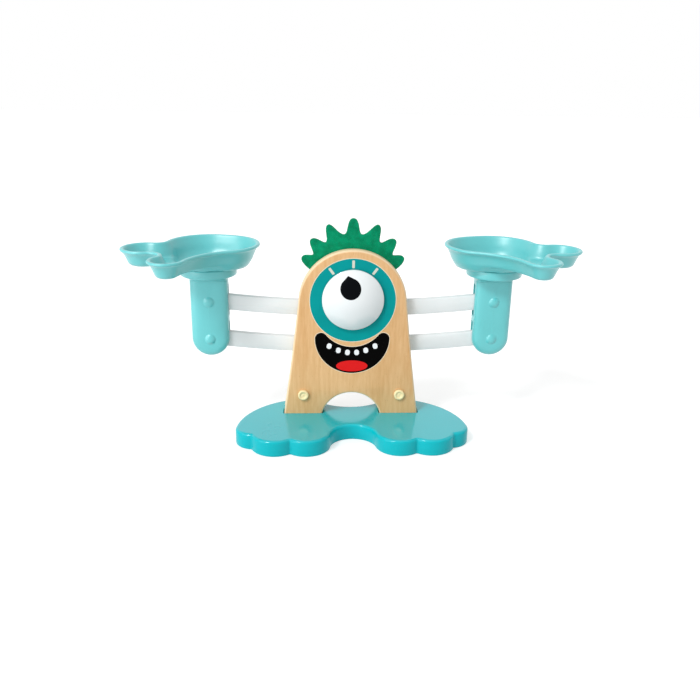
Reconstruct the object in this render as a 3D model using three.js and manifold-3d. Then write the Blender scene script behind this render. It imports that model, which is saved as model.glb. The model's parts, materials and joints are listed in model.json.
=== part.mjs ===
// Wooden math balance: a parallel-beam scale with two dishes that stay level as the beams tip.
//
// Millimetres, +Z up, +X to the right, +Y away from the viewer. The origin is on the underside
// of the base, on the centre line, below the front face of the body. Two curved beams run
// between the front and rear panels of the body. Each turns on its own pivot, one above the
// other, and their ends are pinned into two hollow posts, so beams and posts form a
// parallelogram and each post carries its dish upright at every tilt.

import * as THREE from 'three';
import { mergeVertices } from 'three/addons/utils/BufferGeometryUtils.js';
import Module from 'manifold-3d';

const wasm = await Module();
wasm.setup();

// Fits shared by all pieces
const SEAT_GAP = 0.3;
const RUN_GAP = 0.3;
const CUT_OVERRUN = 2;
const SCREW_RADIUS = 1.5;
const SCREW_HEAD_RADIUS = 2.6;
const SCREW_HEAD_HEIGHT = 1.8;
const SCREW_SOCKET_RADIUS = 1.2;
const SCREW_SOCKET_DEPTH = 1;
const SCREW_HEAD_ROUNDING = 0.9;

// Base: two broad feet, each with three toes, joined by a narrow waist
const BASE_HALF_WIDTH = 105.7;
const BASE_THICKNESS = 15;
const BASE_TOP_ROUNDING = 2.6;
const BASE_FOOT_ROUNDING = 1.2;
const MORTISE_DEPTH = 8;
const MORTISE_CLEARANCE = 1;
const BASE_SCREW_HEAD_DEPTH = 0.6;
const BASE_SCREW_GRIP = 14;

// Body: a front panel with legs, a thinner rear panel, and what keeps them apart
const FRONT_PANEL_THICKNESS = 10;
const REAR_PANEL_THICKNESS = 5;
const PANEL_EDGE_ROUNDING = 2;
const BODY_FOOT_HALF_WIDTH = 62.6;
const BODY_SIDE_HOLLOW = 1;
const HEAD_RADIUS = 48.8;
const HEAD_CENTRE_Z = 122.1;
const REAR_HEAD_DROP = 8.5;
const HEAD_TANGENT_ANGLE = THREE.MathUtils.degToRad(6.5);
const ARCH_RADIUS = 28;
const ARCH_CENTRE_Z = 7.5;
const LEG_SPACER_HALF_WIDTH = 12.5;
const LEG_SPACER_TOP_Z = 50;
const PEG_Z = 33.9;
const PEG_RADIUS = 3;
const PEG_HEAD_RADIUS = 5;
const PEG_HEAD_HEIGHT = 2.6;
const PEG_HEAD_ROUNDING = 0.8;
const PEG_DIMPLE_RADIUS = 2.1;
const PEG_DIMPLE_DEPTH = 0.5;

// Crest: seven round-tipped spikes around the head, clamped between the panels
const CREST_THICKNESS = 3;
const CREST_SHOWING = 26.4;
const CREST_HIDDEN = 16.2;
const CREST_SPACER_WIDTH = 7.5;
const CREST_SPACER_HALF_ANGLE = THREE.MathUtils.degToRad(50);
const CREST_SCREW_ANGLE = THREE.MathUtils.degToRad(33);

// Beams and their pivots
const BEAM_THICKNESS = 6;
const BEAM_SIDE_PLAY = 1;
const BEAM_HEIGHT = 14.6;
const BEAM_SAG = 8;
const BEAM_EDGE_ROUNDING = 1.2;
const PIN_REACH = 129;
const PIVOT_RISE = 12;
const HUB_RADIUS = 13;
const HUB_FLARE_REACH = 30;
const UPPER_PIVOT_Z = 126.2;
const BEAM_SPACING = 35.2;
const JOURNAL_FRONT_RADIUS = 6.5;
const JOURNAL_REAR_RADIUS = 5;
const LOWER_AXLE_RADIUS = 3;
const LOWER_AXLE_HEAD_RADIUS = 5.5;
const LOWER_AXLE_HEAD_HEIGHT = 2;
const LOWER_AXLE_SEAT_DEPTH = 6;
const WASHER_RADIUS = 10;
const WASHER_THICKNESS = 0.4;

// Eye: the domed indicator that sits on the upper beam's pivot
const EYE_RADIUS = 27.8;
const EYE_HEIGHT = 12.2;
const EYE_RIM_HEIGHT = 2.2;
const EYE_WALL = 2.2;
const EYE_STANDOFF = 0.9;
const EYE_CORE_RADIUS = 7;
const EYE_BOSS_RADIUS = 3.6;
const EYE_BOSS_LENGTH = 8;
const POINTER_REST_ANGLE = THREE.MathUtils.degToRad(-12);
const PUPIL_OFFSET = 12.7;
const PUPIL_RADIUS = 9.2;
const PUPIL_TIP_REACH = 11.6;
const PUPIL_INLAY_DEPTH = 1.3;
const PUPIL_PROUD = 0.3;

// Posts: hollow, pillow-shaped, each split into a front and a rear shell on the beam plane
const POST_HALF_WIDTH = 17;
const POST_HALF_DEPTH = 10;
const POST_EDGE_ROLL = 9;
const POST_WALL = 2.2;
const POST_TOP_Z = 141;
const PIN_RADIUS = 3;
const PIN_HALF_LENGTH = 7.2;
const PIN_BOSS_RADIUS = 5;
const PIN_BUMP_RADIUS = 4.6;
const PIN_BUMP_HEIGHT = 1.9;
const PIN_BUMP_ROUNDING = 2.2;
const SLOT_ABOVE_PIN = 15;
const SLOT_BELOW_PIN = 14.6;
const SCREW_BOSS_RADIUS = 3.8;
const UPPER_SCREW_ABOVE_PIN = 11.6;
const POST_SCREW_GRIP = 5;
const COLLAR_RADIUS = 25;
const COLLAR_HEIGHT = 12.5;
const COLLAR_FLARE_HEIGHT = 5.6;
const COLLAR_PLUG_DEPTH = 2.7;
const COLLAR_EDGE_ROUNDING = 0.9;

// Dishes: a palm over the post and two blunt fingers, one outward and one to the front
const DISH_DEPTH = 20.5;
const FINGER_DEPTH = 15;
const DISH_WALL = 2.1;
const DISH_FLOOR = 2.2;
const DISH_WALL_SLOPE = 4.5;
const DISH_FOOT_ROUNDING = 4;
const DISH_LIP = 1.5;
const DISH_LIP_HEIGHT = 2.8;
const BASIN_FLOOR_INSET = 12.5;
const BASIN_HEIGHT = 8.5;
const DISH_SPIGOT_RADIUS = 18;
const DISH_SPIGOT_DEPTH = 4;
const PALM_RADIUS = 37.8;

// Places that follow from the sizes above
const beamPlaneY = FRONT_PANEL_THICKNESS + BEAM_SIDE_PLAY + BEAM_THICKNESS / 2;
const rearPanelFrontY = FRONT_PANEL_THICKNESS + BEAM_THICKNESS + 2 * BEAM_SIDE_PLAY;
const rearPanelBackY = rearPanelFrontY + REAR_PANEL_THICKNESS;
const lowerAxleSeatY = FRONT_PANEL_THICKNESS - LOWER_AXLE_SEAT_DEPTH;
const legBottomZ = BASE_THICKNESS - MORTISE_DEPTH + SEAT_GAP;
const lowerPivotZ = UPPER_PIVOT_Z - BEAM_SPACING;
const pinDrop = PIVOT_RISE - BEAM_SAG;
const upperPinZ = UPPER_PIVOT_Z - pinDrop;
const lowerPinZ = lowerPivotZ - pinDrop;
const postScrewZs = [(upperPinZ + lowerPinZ) / 2, upperPinZ + UPPER_SCREW_ABOVE_PIN];
const beamArcRadius = (PIN_REACH ** 2 + BEAM_SAG ** 2) / (2 * BEAM_SAG);
const collarTopZ = POST_TOP_Z + COLLAR_HEIGHT;
const dishBottomZ = collarTopZ + SEAT_GAP;
const dishRimZ = dishBottomZ + DISH_DEPTH;
const archHalfWidth = Math.sqrt(ARCH_RADIUS ** 2 - (BASE_THICKNESS - ARCH_CENTRE_Z) ** 2);
const legMiddleX = (archHalfWidth + BODY_FOOT_HALF_WIDTH) / 2;
const pegX = legMiddleX;
const headReach = HEAD_CENTRE_Z + HEAD_RADIUS - UPPER_PIVOT_Z;
const crestReach = headReach + CREST_SHOWING;
const crestInnerRadius = headReach - CREST_HIDDEN;
const legHalfWidth = (BODY_FOOT_HALF_WIDTH - archHalfWidth) / 2;
const legScrewXs = [legMiddleX - legHalfWidth / 2, legMiddleX + legHalfWidth / 2];

// Steps that round shapes are divided into
const ARC_STEP = THREE.MathUtils.degToRad(15);
const HEX_SIDES = 6;
const ROUND_SIDES = 16;
const SCREW_SIDES = 10;
const FINE_SIDES = 28;
const PANEL_SEGMENTS = 12;
const BEAM_SEGMENTS = 7;
const CREST_SEGMENTS = 6;
const DOME_STEPS = 8;
const EYE_SIDES = 48;
const POST_END_STEPS = 10;
const POST_ROLL_STEPS = 4;
const edgeRoundShares = [0, 0.5, 1];
const WELD_DISTANCE = 1e-4;

const UP = (u, v, level) => [u, v, level];
const FORWARD = (u, v, level) => [u, -level, v];

/** Joins vertices that lie on one another and drops triangles that have lost their area. */
function welded(geometry) {
  geometry.deleteAttribute('normal');
  geometry.deleteAttribute('uv');
  const merged = mergeVertices(geometry, WELD_DISTANCE);
  const index = [];
  const source = merged.index.array;
  for (let i = 0; i < source.length; i += 3) {
    const [a, b, c] = [source[i], source[i + 1], source[i + 2]];
    if (a !== b && b !== c && c !== a) {
      index.push(a, b, c);
    }
  }
  merged.setIndex(index);
  return merged;
}

/** A closed geometry as a solid that can be joined and cut. */
function solidOf(geometry) {
  const merged = welded(geometry.clone());
  const mesh = new wasm.Mesh({
    numProp: 3,
    vertProperties: new Float32Array(merged.attributes.position.array),
    triVerts: new Uint32Array(merged.index.array),
  });
  return new wasm.Manifold(mesh);
}

/** A joined or cut solid as a geometry. */
function geometryOf(solid) {
  const mesh = solid.getMesh();
  const geometry = new THREE.BufferGeometry();
  geometry.setAttribute('position', new THREE.BufferAttribute(new Float32Array(mesh.vertProperties), 3));
  geometry.setIndex(new THREE.BufferAttribute(new Uint32Array(mesh.triVerts), 1));
  geometry.computeVertexNormals();
  return geometry;
}

/** The first geometry joined with those in add, less those in cut. */
function shaped(geometry, { add = [], cut = [] }) {
  let solid = solidOf(geometry);
  for (const piece of add) {
    solid = solid.add(solidOf(piece));
  }
  for (const piece of cut) {
    solid = solid.subtract(solidOf(piece));
  }
  return geometryOf(solid);
}

/** The same shape seen in a mirror across the plane of Y and Z. */
function mirrored(geometry) {
  const copy = welded(geometry.clone());
  copy.scale(-1, 1, 1);
  const index = copy.index.array;
  for (let i = 0; i < index.length; i += 3) {
    [index[i], index[i + 1]] = [index[i + 1], index[i]];
  }
  copy.computeVertexNormals();
  return copy;
}

/** A closed skin over a stack of outlines that have the same number of points each. */
function skinned(rings, place) {
  const count = rings[0].outline.length;
  const position = rings.flatMap((ring) => ring.outline.flatMap(([u, v]) => place(u, v, ring.level)));
  const index = [];
  for (let r = 0; r + 1 < rings.length; r += 1) {
    for (let i = 0; i < count; i += 1) {
      const a = r * count + i;
      const b = r * count + ((i + 1) % count);
      index.push(a, b, b + count, a, b + count, a + count);
    }
  }
  const cap = (ring) => THREE.ShapeUtils.triangulateShape(
    ring.outline.map(([u, v]) => new THREE.Vector2(u, v)),
    [],
  );
  const last = (rings.length - 1) * count;
  for (const [a, b, c] of cap(rings[0])) {
    index.push(a, c, b);
  }
  for (const [a, b, c] of cap(rings.at(-1))) {
    index.push(last + a, last + b, last + c);
  }
  const geometry = new THREE.BufferGeometry();
  geometry.setAttribute('position', new THREE.Float32BufferAttribute(position, 3));
  geometry.setIndex(index);
  geometry.computeVertexNormals();
  return geometry;
}

/** The arc that touches two lobes: hollow between them, or full and enclosing both. */
function webBetween(a, b) {
  const sign = a.full ? -1 : 1;
  const span = Math.hypot(b.x - a.x, b.y - a.y);
  const fromA = a.web + sign * a.r;
  const fromB = a.web + sign * b.r;
  const along = (fromA ** 2 - fromB ** 2 + span ** 2) / (2 * span);
  const aside = sign * Math.sqrt(fromA ** 2 - along ** 2);
  const [ux, uy] = [(b.x - a.x) / span, (b.y - a.y) / span];
  const x = a.x + ux * along + uy * aside;
  const y = a.y + uy * along - ux * aside;
  return {
    x,
    y,
    r: a.web,
    sign,
    leave: Math.atan2(sign * (y - a.y), sign * (x - a.x)),
    enter: Math.atan2(sign * (y - b.y), sign * (x - b.x)),
  };
}

/** Adds the points of one arc, its end left out. The turn is positive counter-clockwise. */
function addArc(points, { x, y, r }, start, turn, step) {
  const steps = Math.max(2, Math.ceil(Math.abs(turn) / step));
  for (let i = 0; i < steps; i += 1) {
    const angle = start + (turn * i) / steps;
    points.push([x + r * Math.cos(angle), y + r * Math.sin(angle)]);
  }
}

/**
 * Walks counter-clockwise round a chain of round lobes and the webs between them. Each lobe has
 * its centre, its radius r, and the radius of the web to the next lobe. The inset draws the whole
 * outline in without moving a centre, so outlines at different insets match point by point.
 */
function lobedOutline(lobes, inset = 0) {
  const webs = lobes.map((lobe, i) => webBetween(lobe, lobes[(i + 1) % lobes.length]));
  const full = 2 * Math.PI;
  const points = [];
  lobes.forEach((lobe, i) => {
    const before = webs[(i + lobes.length - 1) % lobes.length];
    const after = webs[i];
    const turn = (((after.leave - before.enter) % full) + full) % full;
    addArc(points, { ...lobe, r: lobe.r - inset }, before.enter, turn, ARC_STEP);
    const webTurn = (((after.sign * (after.leave - after.enter)) % full) + full) % full;
    const start = after.leave + (after.sign > 0 ? Math.PI : 0);
    const radius = after.r + after.sign * inset;
    addArc(points, { ...after, r: radius }, start, -after.sign * webTurn, ARC_STEP);
  });
  return points;
}

/** A closed outline as a shape to extrude. */
function shapeOf(points) {
  return new THREE.Shape(points.map(([u, v]) => new THREE.Vector2(u, v)));
}

/** A plate standing in the plane of X and Z, from its front face to its back face. */
function uprightPlate(shape, frontY, backY, rounding, curveSegments) {
  const geometry = new THREE.ExtrudeGeometry(shape, {
    depth: backY - frontY - 2 * rounding,
    bevelEnabled: rounding > 0,
    bevelThickness: rounding,
    bevelSize: rounding,
    bevelOffset: -rounding,
    bevelSegments: 2,
    curveSegments,
  });
  geometry.rotateX(Math.PI / 2);
  geometry.translate(0, backY - rounding, 0);
  return geometry;
}

/** A round bar along Y. */
function roundBar(radius, frontY, backY, x, z, sides = ROUND_SIDES) {
  const bar = new THREE.CylinderGeometry(radius, radius, backY - frontY, sides);
  bar.translate(x, (frontY + backY) / 2, z);
  return bar;
}

/** A round bar along Z. */
function uprightBar(radius, lowZ, highZ, x, y, sides = ROUND_SIDES) {
  const bar = new THREE.CylinderGeometry(radius, radius, highZ - lowZ, sides);
  bar.rotateX(Math.PI / 2);
  bar.translate(x, y, (lowZ + highZ) / 2);
  return bar;
}

/** A block between two corners. */
function block([x0, y0, z0], [x1, y1, z1]) {
  const box = new THREE.BoxGeometry(x1 - x0, y1 - y0, z1 - z0);
  box.translate((x0 + x1) / 2, (y0 + y1) / 2, (z0 + z1) / 2);
  return box;
}

/** A turned piece on the Y axis that rises away from the viewer. Its profile is radius, height. */
function turnedBackward(profile, sides = ROUND_SIDES) {
  const points = profile.map(([radius, height]) => new THREE.Vector2(radius, height));
  const turned = welded(new THREE.LatheGeometry(points, sides));
  turned.computeVertexNormals();
  return turned;
}

/** The same, rising towards the viewer. */
function turnedForward(profile, sides = ROUND_SIDES) {
  return turnedBackward(profile, sides).rotateX(Math.PI);
}

/** A screw on the Y axis with its head at the back: the head's seat is at height zero. */
function backScrew(grip) {
  const screw = turnedBackward([
    [0, -grip],
    [SCREW_RADIUS, -grip],
    [SCREW_RADIUS, 0],
    [SCREW_HEAD_RADIUS, 0],
    [SCREW_HEAD_RADIUS, SCREW_HEAD_HEIGHT - SCREW_HEAD_ROUNDING],
    [SCREW_HEAD_RADIUS - SCREW_HEAD_ROUNDING / 2, SCREW_HEAD_HEIGHT],
    [0, SCREW_HEAD_HEIGHT],
  ], SCREW_SIDES);
  const floor = SCREW_HEAD_HEIGHT - SCREW_SOCKET_DEPTH;
  const socketTop = SCREW_HEAD_HEIGHT + CUT_OVERRUN;
  const socket = roundBar(SCREW_SOCKET_RADIUS, floor, socketTop, 0, 0, HEX_SIDES);
  return shaped(screw, { cut: [socket] });
}

/** A named mesh with a material of its own. */
function piece(name, geometry, color, roughness, metalness = 0) {
  const mesh = new THREE.Mesh(geometry, new THREE.MeshStandardMaterial({ color, roughness, metalness }));
  mesh.name = name;
  return mesh;
}

const WOOD = 0xdeb684;
const TEAL = 0x14b9bd;
const FELT_GREEN = 0x0f9a66;
const WHITE = 0xf2f4f4;
const AQUA = 0x74cfd0;
const BLACK = 0x0a0a0c;
const PEG_CREAM = 0xf0dcae;
const STEEL = 0xb9bcc0;
const NYLON = 0xe9e6dc;

// Base

// Lobes of the right foot from the inner toe round to the heel, as shares of the base's half width
const footShares = [
  { x: 0.397, y: -0.364, r: 0.208, web: 0.016 },
  { x: 0.662, y: -0.36, r: 0.208, web: 0.016 },
  { x: 0.841, y: -0.27, r: 0.159, web: 0.665, full: true },
  { x: 0.433, y: 0.129, r: 0.208, web: 0.393 },
];
const waistWebShare = 0.196;

/** The base's plan outline: the right foot's lobes, then their mirror images. */
function baseOutline(inset) {
  const right = footShares.map((lobe) => ({
    x: lobe.x * BASE_HALF_WIDTH,
    y: lobe.y * BASE_HALF_WIDTH,
    r: lobe.r * BASE_HALF_WIDTH,
    web: lobe.web * BASE_HALF_WIDTH,
    full: lobe.full,
  }));
  const left = right.map((lobe, i) => {
    const before = i > 0 ? right[i - 1] : { web: waistWebShare * BASE_HALF_WIDTH };
    return { ...lobe, x: -lobe.x, web: before.web, full: before.full };
  });
  return lobedOutline([...right, ...left.reverse()], inset);
}

/** A screw hole up through the base at one place, with its counterbore. */
function baseScrewHole(x, y) {
  const headTop = BASE_SCREW_HEAD_DEPTH + SCREW_HEAD_HEIGHT + SEAT_GAP;
  return [
    uprightBar(SCREW_HEAD_RADIUS + RUN_GAP, -CUT_OVERRUN, headTop, x, y),
    uprightBar(SCREW_RADIUS + RUN_GAP, -CUT_OVERRUN, BASE_THICKNESS, x, y, SCREW_SIDES),
  ];
}

/** The base plate with rounded edges, two mortises for the legs and four screw holes. */
function basePlate() {
  const roundedEdge = edgeRoundShares.map((share) => {
    const angle = share * (Math.PI / 2);
    return {
      outline: baseOutline(BASE_TOP_ROUNDING * (1 - Math.cos(angle))),
      level: BASE_THICKNESS - BASE_TOP_ROUNDING * (1 - Math.sin(angle)),
    };
  });
  const plate = skinned([
    { outline: baseOutline(BASE_FOOT_ROUNDING), level: 0 },
    { outline: baseOutline(0), level: BASE_FOOT_ROUNDING },
    ...roundedEdge,
  ], UP);
  const cut = [];
  for (const side of [-1, 1]) {
    const inner = side * (archHalfWidth - MORTISE_CLEARANCE);
    const outer = side * (BODY_FOOT_HALF_WIDTH + MORTISE_CLEARANCE);
    cut.push(block(
      [Math.min(inner, outer), -SEAT_GAP, BASE_THICKNESS - MORTISE_DEPTH],
      [Math.max(inner, outer), FRONT_PANEL_THICKNESS + MORTISE_CLEARANCE, BASE_THICKNESS + CUT_OVERRUN],
    ));
    for (const x of legScrewXs) {
      cut.push(...baseScrewHole(side * x, FRONT_PANEL_THICKNESS / 2));
    }
  }
  return shaped(plate, { cut });
}

/** A screw that comes up through the base into a leg. */
function baseScrew(x) {
  const screw = backScrew(BASE_SCREW_GRIP);
  screw.rotateX(-Math.PI / 2);
  screw.translate(x, FRONT_PANEL_THICKNESS / 2, BASE_SCREW_HEAD_DEPTH + SCREW_HEAD_HEIGHT);
  return screw;
}

// Body

/** The outline of a panel from the given height up: legs, arch, leaning sides and round head. */
function bodyShape(bottomZ, headCentreZ) {
  const shape = new THREE.Shape();
  const footZ = Math.max(bottomZ, BASE_THICKNESS);
  const tangentX = HEAD_RADIUS * Math.cos(HEAD_TANGENT_ANGLE);
  const tangentZ = headCentreZ + HEAD_RADIUS * Math.sin(HEAD_TANGENT_ANGLE);
  const bendX = (BODY_FOOT_HALF_WIDTH + tangentX) / 2 - BODY_SIDE_HOLLOW;
  const bendZ = (BASE_THICKNESS + tangentZ) / 2;
  const archAngle = Math.asin((footZ - ARCH_CENTRE_Z) / ARCH_RADIUS);
  const archFootX = ARCH_RADIUS * Math.cos(archAngle);
  shape.moveTo(BODY_FOOT_HALF_WIDTH, footZ);
  shape.quadraticCurveTo(bendX, bendZ, tangentX, tangentZ);
  shape.absarc(0, headCentreZ, HEAD_RADIUS, HEAD_TANGENT_ANGLE, Math.PI / 2);
  shape.absarc(0, headCentreZ, HEAD_RADIUS, Math.PI / 2, Math.PI - HEAD_TANGENT_ANGLE);
  shape.quadraticCurveTo(-bendX, bendZ, -BODY_FOOT_HALF_WIDTH, footZ);
  if (bottomZ < footZ) {
    shape.lineTo(-BODY_FOOT_HALF_WIDTH, bottomZ);
    shape.lineTo(-archFootX, bottomZ);
  }
  shape.absarc(0, ARCH_CENTRE_Z, ARCH_RADIUS, Math.PI - archAngle, archAngle, true);
  if (bottomZ < footZ) {
    shape.lineTo(archFootX, bottomZ);
    shape.lineTo(BODY_FOOT_HALF_WIDTH, bottomZ);
  }
  shape.closePath();
  return shape;
}

/** Where the screw stands that clamps the crest on one side. */
function crestScrewPlace(side) {
  const reach = crestInnerRadius + CREST_SPACER_WIDTH / 2;
  return {
    x: side * reach * Math.sin(CREST_SCREW_ANGLE),
    z: UPPER_PIVOT_Z + reach * Math.cos(CREST_SCREW_ANGLE),
  };
}

/** The holes for the two pegs, through both panels and the blocks between them. */
function pegHoles(frontY, backY) {
  return [-1, 1].map((side) => roundBar(PEG_RADIUS + RUN_GAP, frontY, backY, side * pegX, PEG_Z));
}

/** The holes for the two screws that clamp the crest. */
function crestScrewHoles(frontY, backY) {
  return [-1, 1].map((side) => {
    const { x, z } = crestScrewPlace(side);
    return roundBar(SCREW_RADIUS + RUN_GAP, frontY, backY, x, z, SCREW_SIDES);
  });
}

/** The front panel: its legs stand in the base, and the eye's journal runs through it. */
function frontPanel() {
  const shape = bodyShape(legBottomZ, HEAD_CENTRE_Z);
  const plate = uprightPlate(shape, 0, FRONT_PANEL_THICKNESS, PANEL_EDGE_ROUNDING, PANEL_SEGMENTS);
  const back = FRONT_PANEL_THICKNESS + CUT_OVERRUN;
  const screwTop = BASE_SCREW_HEAD_DEPTH + SCREW_HEAD_HEIGHT + BASE_SCREW_GRIP + SEAT_GAP;
  const legHoles = [-1, 1].flatMap((side) => legScrewXs.map((x) => uprightBar(
    SCREW_RADIUS + RUN_GAP,
    0,
    screwTop,
    side * x,
    FRONT_PANEL_THICKNESS / 2,
    SCREW_SIDES,
  )));
  return shaped(plate, {
    cut: [
      ...pegHoles(-CUT_OVERRUN, back),
      ...crestScrewHoles(FRONT_PANEL_THICKNESS / 2 - SEAT_GAP, back),
      ...legHoles,
      roundBar(JOURNAL_FRONT_RADIUS + RUN_GAP, -CUT_OVERRUN, back, 0, UPPER_PIVOT_Z, FINE_SIDES),
      roundBar(LOWER_AXLE_RADIUS + RUN_GAP, lowerAxleSeatY, back, 0, lowerPivotZ),
    ],
  });
}

/** The rear panel, which stands on the base behind the beams, with its head a little lower. */
function rearPanel() {
  const shape = bodyShape(BASE_THICKNESS + SEAT_GAP, HEAD_CENTRE_Z - REAR_HEAD_DROP);
  const rounding = PANEL_EDGE_ROUNDING / 2;
  const plate = uprightPlate(shape, rearPanelFrontY, rearPanelBackY, rounding, PANEL_SEGMENTS);
  const front = rearPanelFrontY - CUT_OVERRUN;
  const back = rearPanelBackY + CUT_OVERRUN;
  return shaped(plate, {
    cut: [
      ...pegHoles(front, back),
      ...crestScrewHoles(front, back),
      roundBar(JOURNAL_REAR_RADIUS + RUN_GAP, front, back, 0, UPPER_PIVOT_Z, FINE_SIDES),
      roundBar(LOWER_AXLE_RADIUS + RUN_GAP, front, back, 0, lowerPivotZ),
    ],
  });
}

/** The block that keeps the legs of the two panels apart on one side. */
function legSpacer(side) {
  const shape = new THREE.Shape();
  const low = BASE_THICKNESS + SEAT_GAP;
  const shoulder = LEG_SPACER_TOP_Z - LEG_SPACER_HALF_WIDTH;
  const x = side * pegX;
  shape.moveTo(x - LEG_SPACER_HALF_WIDTH, low);
  shape.lineTo(x + LEG_SPACER_HALF_WIDTH, low);
  shape.lineTo(x + LEG_SPACER_HALF_WIDTH, shoulder);
  shape.absarc(x, shoulder, LEG_SPACER_HALF_WIDTH, 0, Math.PI);
  shape.closePath();
  const front = FRONT_PANEL_THICKNESS + SEAT_GAP;
  const back = rearPanelFrontY - SEAT_GAP;
  return shaped(uprightPlate(shape, front, back, 0, SCREW_SIDES), {
    cut: pegHoles(front - CUT_OVERRUN, back + CUT_OVERRUN),
  });
}

/** A peg that runs through both panels, with a turned head that has a dimple in its middle. */
function peg(side) {
  const pin = turnedForward([
    [0, -rearPanelBackY],
    [PEG_RADIUS, -rearPanelBackY],
    [PEG_RADIUS, SEAT_GAP],
    [PEG_HEAD_RADIUS, SEAT_GAP],
    [PEG_HEAD_RADIUS, PEG_HEAD_HEIGHT - PEG_HEAD_ROUNDING],
    [PEG_HEAD_RADIUS - PEG_HEAD_ROUNDING, PEG_HEAD_HEIGHT],
    [PEG_DIMPLE_RADIUS, PEG_HEAD_HEIGHT],
    [PEG_DIMPLE_RADIUS - PEG_DIMPLE_DEPTH, PEG_HEAD_HEIGHT - PEG_DIMPLE_DEPTH],
    [0, PEG_HEAD_HEIGHT - PEG_DIMPLE_DEPTH],
  ]);
  pin.translate(side * pegX, 0, PEG_Z);
  return pin;
}

// Crest

// The crest's right edge around the eye's centre, from the middle tip down to its foot, as shares
// of its reach: two handles and an end for each curve, with valleys and tips taking turns
const quillShares = [
  { handleA: [0.095, 1], handleB: [0.056, 0.797], end: [0.116, 0.797] },
  { handleA: [0.188, 0.797], handleB: [0.262, 0.938], end: [0.314, 0.919] },
  { handleA: [0.386, 0.893], handleB: [0.299, 0.715], end: [0.347, 0.695] },
  { handleA: [0.373, 0.683], handleB: [0.462, 0.767], end: [0.516, 0.741] },
  { handleA: [0.587, 0.715], handleB: [0.495, 0.59], end: [0.499, 0.545] },
  { handleA: [0.501, 0.511], handleB: [0.625, 0.567], end: [0.648, 0.497] },
  { handleA: [0.66, 0.452], handleB: [0.59, 0.386], end: [0.543, 0.348] },
];

/** The crest's outline around the eye's centre: seven spikes that lean away from the middle. */
function crestShape() {
  const shape = new THREE.Shape();
  const at = ([x, z], side) => [side * x * crestReach, UPPER_PIVOT_Z + z * crestReach];
  const [footX, footZ] = quillShares.at(-1).end;
  const footAngle = Math.atan2(footZ, footX);
  shape.moveTo(...at([footX, footZ], 1));
  for (let i = quillShares.length - 1; i >= 0; i -= 1) {
    const { handleA, handleB } = quillShares[i];
    const start = i > 0 ? quillShares[i - 1].end : [0, 1];
    shape.bezierCurveTo(...at(handleB, 1), ...at(handleA, 1), ...at(start, 1));
  }
  for (const { handleA, handleB, end } of quillShares) {
    shape.bezierCurveTo(...at(handleA, -1), ...at(handleB, -1), ...at(end, -1));
  }
  shape.absarc(0, UPPER_PIVOT_Z, crestInnerRadius, Math.PI - footAngle, footAngle, true);
  shape.closePath();
  return shape;
}

/** The crest, cut from one sheet and held by two screws. */
function crest() {
  const front = FRONT_PANEL_THICKNESS + SEAT_GAP;
  const back = front + CREST_THICKNESS;
  return shaped(uprightPlate(crestShape(), front, back, 0, CREST_SEGMENTS), {
    cut: crestScrewHoles(front - CUT_OVERRUN, back + CUT_OVERRUN),
  });
}

/** The curved block behind the crest that fills the space between the panels. */
function crestSpacer() {
  const shape = new THREE.Shape();
  const low = Math.PI / 2 - CREST_SPACER_HALF_ANGLE;
  const high = Math.PI / 2 + CREST_SPACER_HALF_ANGLE;
  shape.absarc(0, UPPER_PIVOT_Z, crestInnerRadius + CREST_SPACER_WIDTH, low, high);
  shape.absarc(0, UPPER_PIVOT_Z, crestInnerRadius, high, low, true);
  shape.closePath();
  const front = FRONT_PANEL_THICKNESS + CREST_THICKNESS + 2 * SEAT_GAP;
  const back = rearPanelFrontY - SEAT_GAP;
  return shaped(uprightPlate(shape, front, back, 0, SCREW_SIDES), {
    cut: crestScrewHoles(front - CUT_OVERRUN, back + CUT_OVERRUN),
  });
}

/** A screw that clamps rear panel, spacer and crest to the front panel. */
function crestScrew(side) {
  const { x, z } = crestScrewPlace(side);
  const screw = backScrew(rearPanelBackY + SEAT_GAP - FRONT_PANEL_THICKNESS / 2);
  screw.translate(x, rearPanelBackY + SEAT_GAP, z);
  return screw;
}

// Beams

/** The curved bar between the two end pins, drawn around its pivot. */
function barShape() {
  const half = BEAM_HEIGHT / 2;
  const spread = Math.asin(PIN_REACH / beamArcRadius);
  const down = -Math.PI / 2;
  const centre = beamArcRadius - PIVOT_RISE;
  const pinZ = -pinDrop;
  const shape = new THREE.Shape();
  shape.absarc(0, centre, beamArcRadius + half, down - spread, down + spread);
  shape.absarc(PIN_REACH, pinZ, half, down + spread, down + spread + Math.PI);
  shape.absarc(0, centre, beamArcRadius - half, down + spread, down - spread, true);
  shape.absarc(-PIN_REACH, pinZ, half, -down - spread, -down - spread + Math.PI);
  shape.closePath();
  return shape;
}

/** The hub around the pivot, flared down into the bar. */
function hubShape() {
  const toe = BEAM_HEIGHT / 2 - BEAM_EDGE_ROUNDING;
  const toeZ = beamArcRadius - PIVOT_RISE - Math.sqrt(beamArcRadius ** 2 - HUB_FLARE_REACH ** 2);
  const lobes = [
    { x: HUB_FLARE_REACH, y: toeZ, r: toe, web: HUB_RADIUS },
    { x: 0, y: 0, r: HUB_RADIUS, web: HUB_RADIUS },
    { x: -HUB_FLARE_REACH, y: toeZ, r: toe, web: beamArcRadius + toe, full: true },
  ];
  return shapeOf(lobedOutline(lobes));
}

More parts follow.
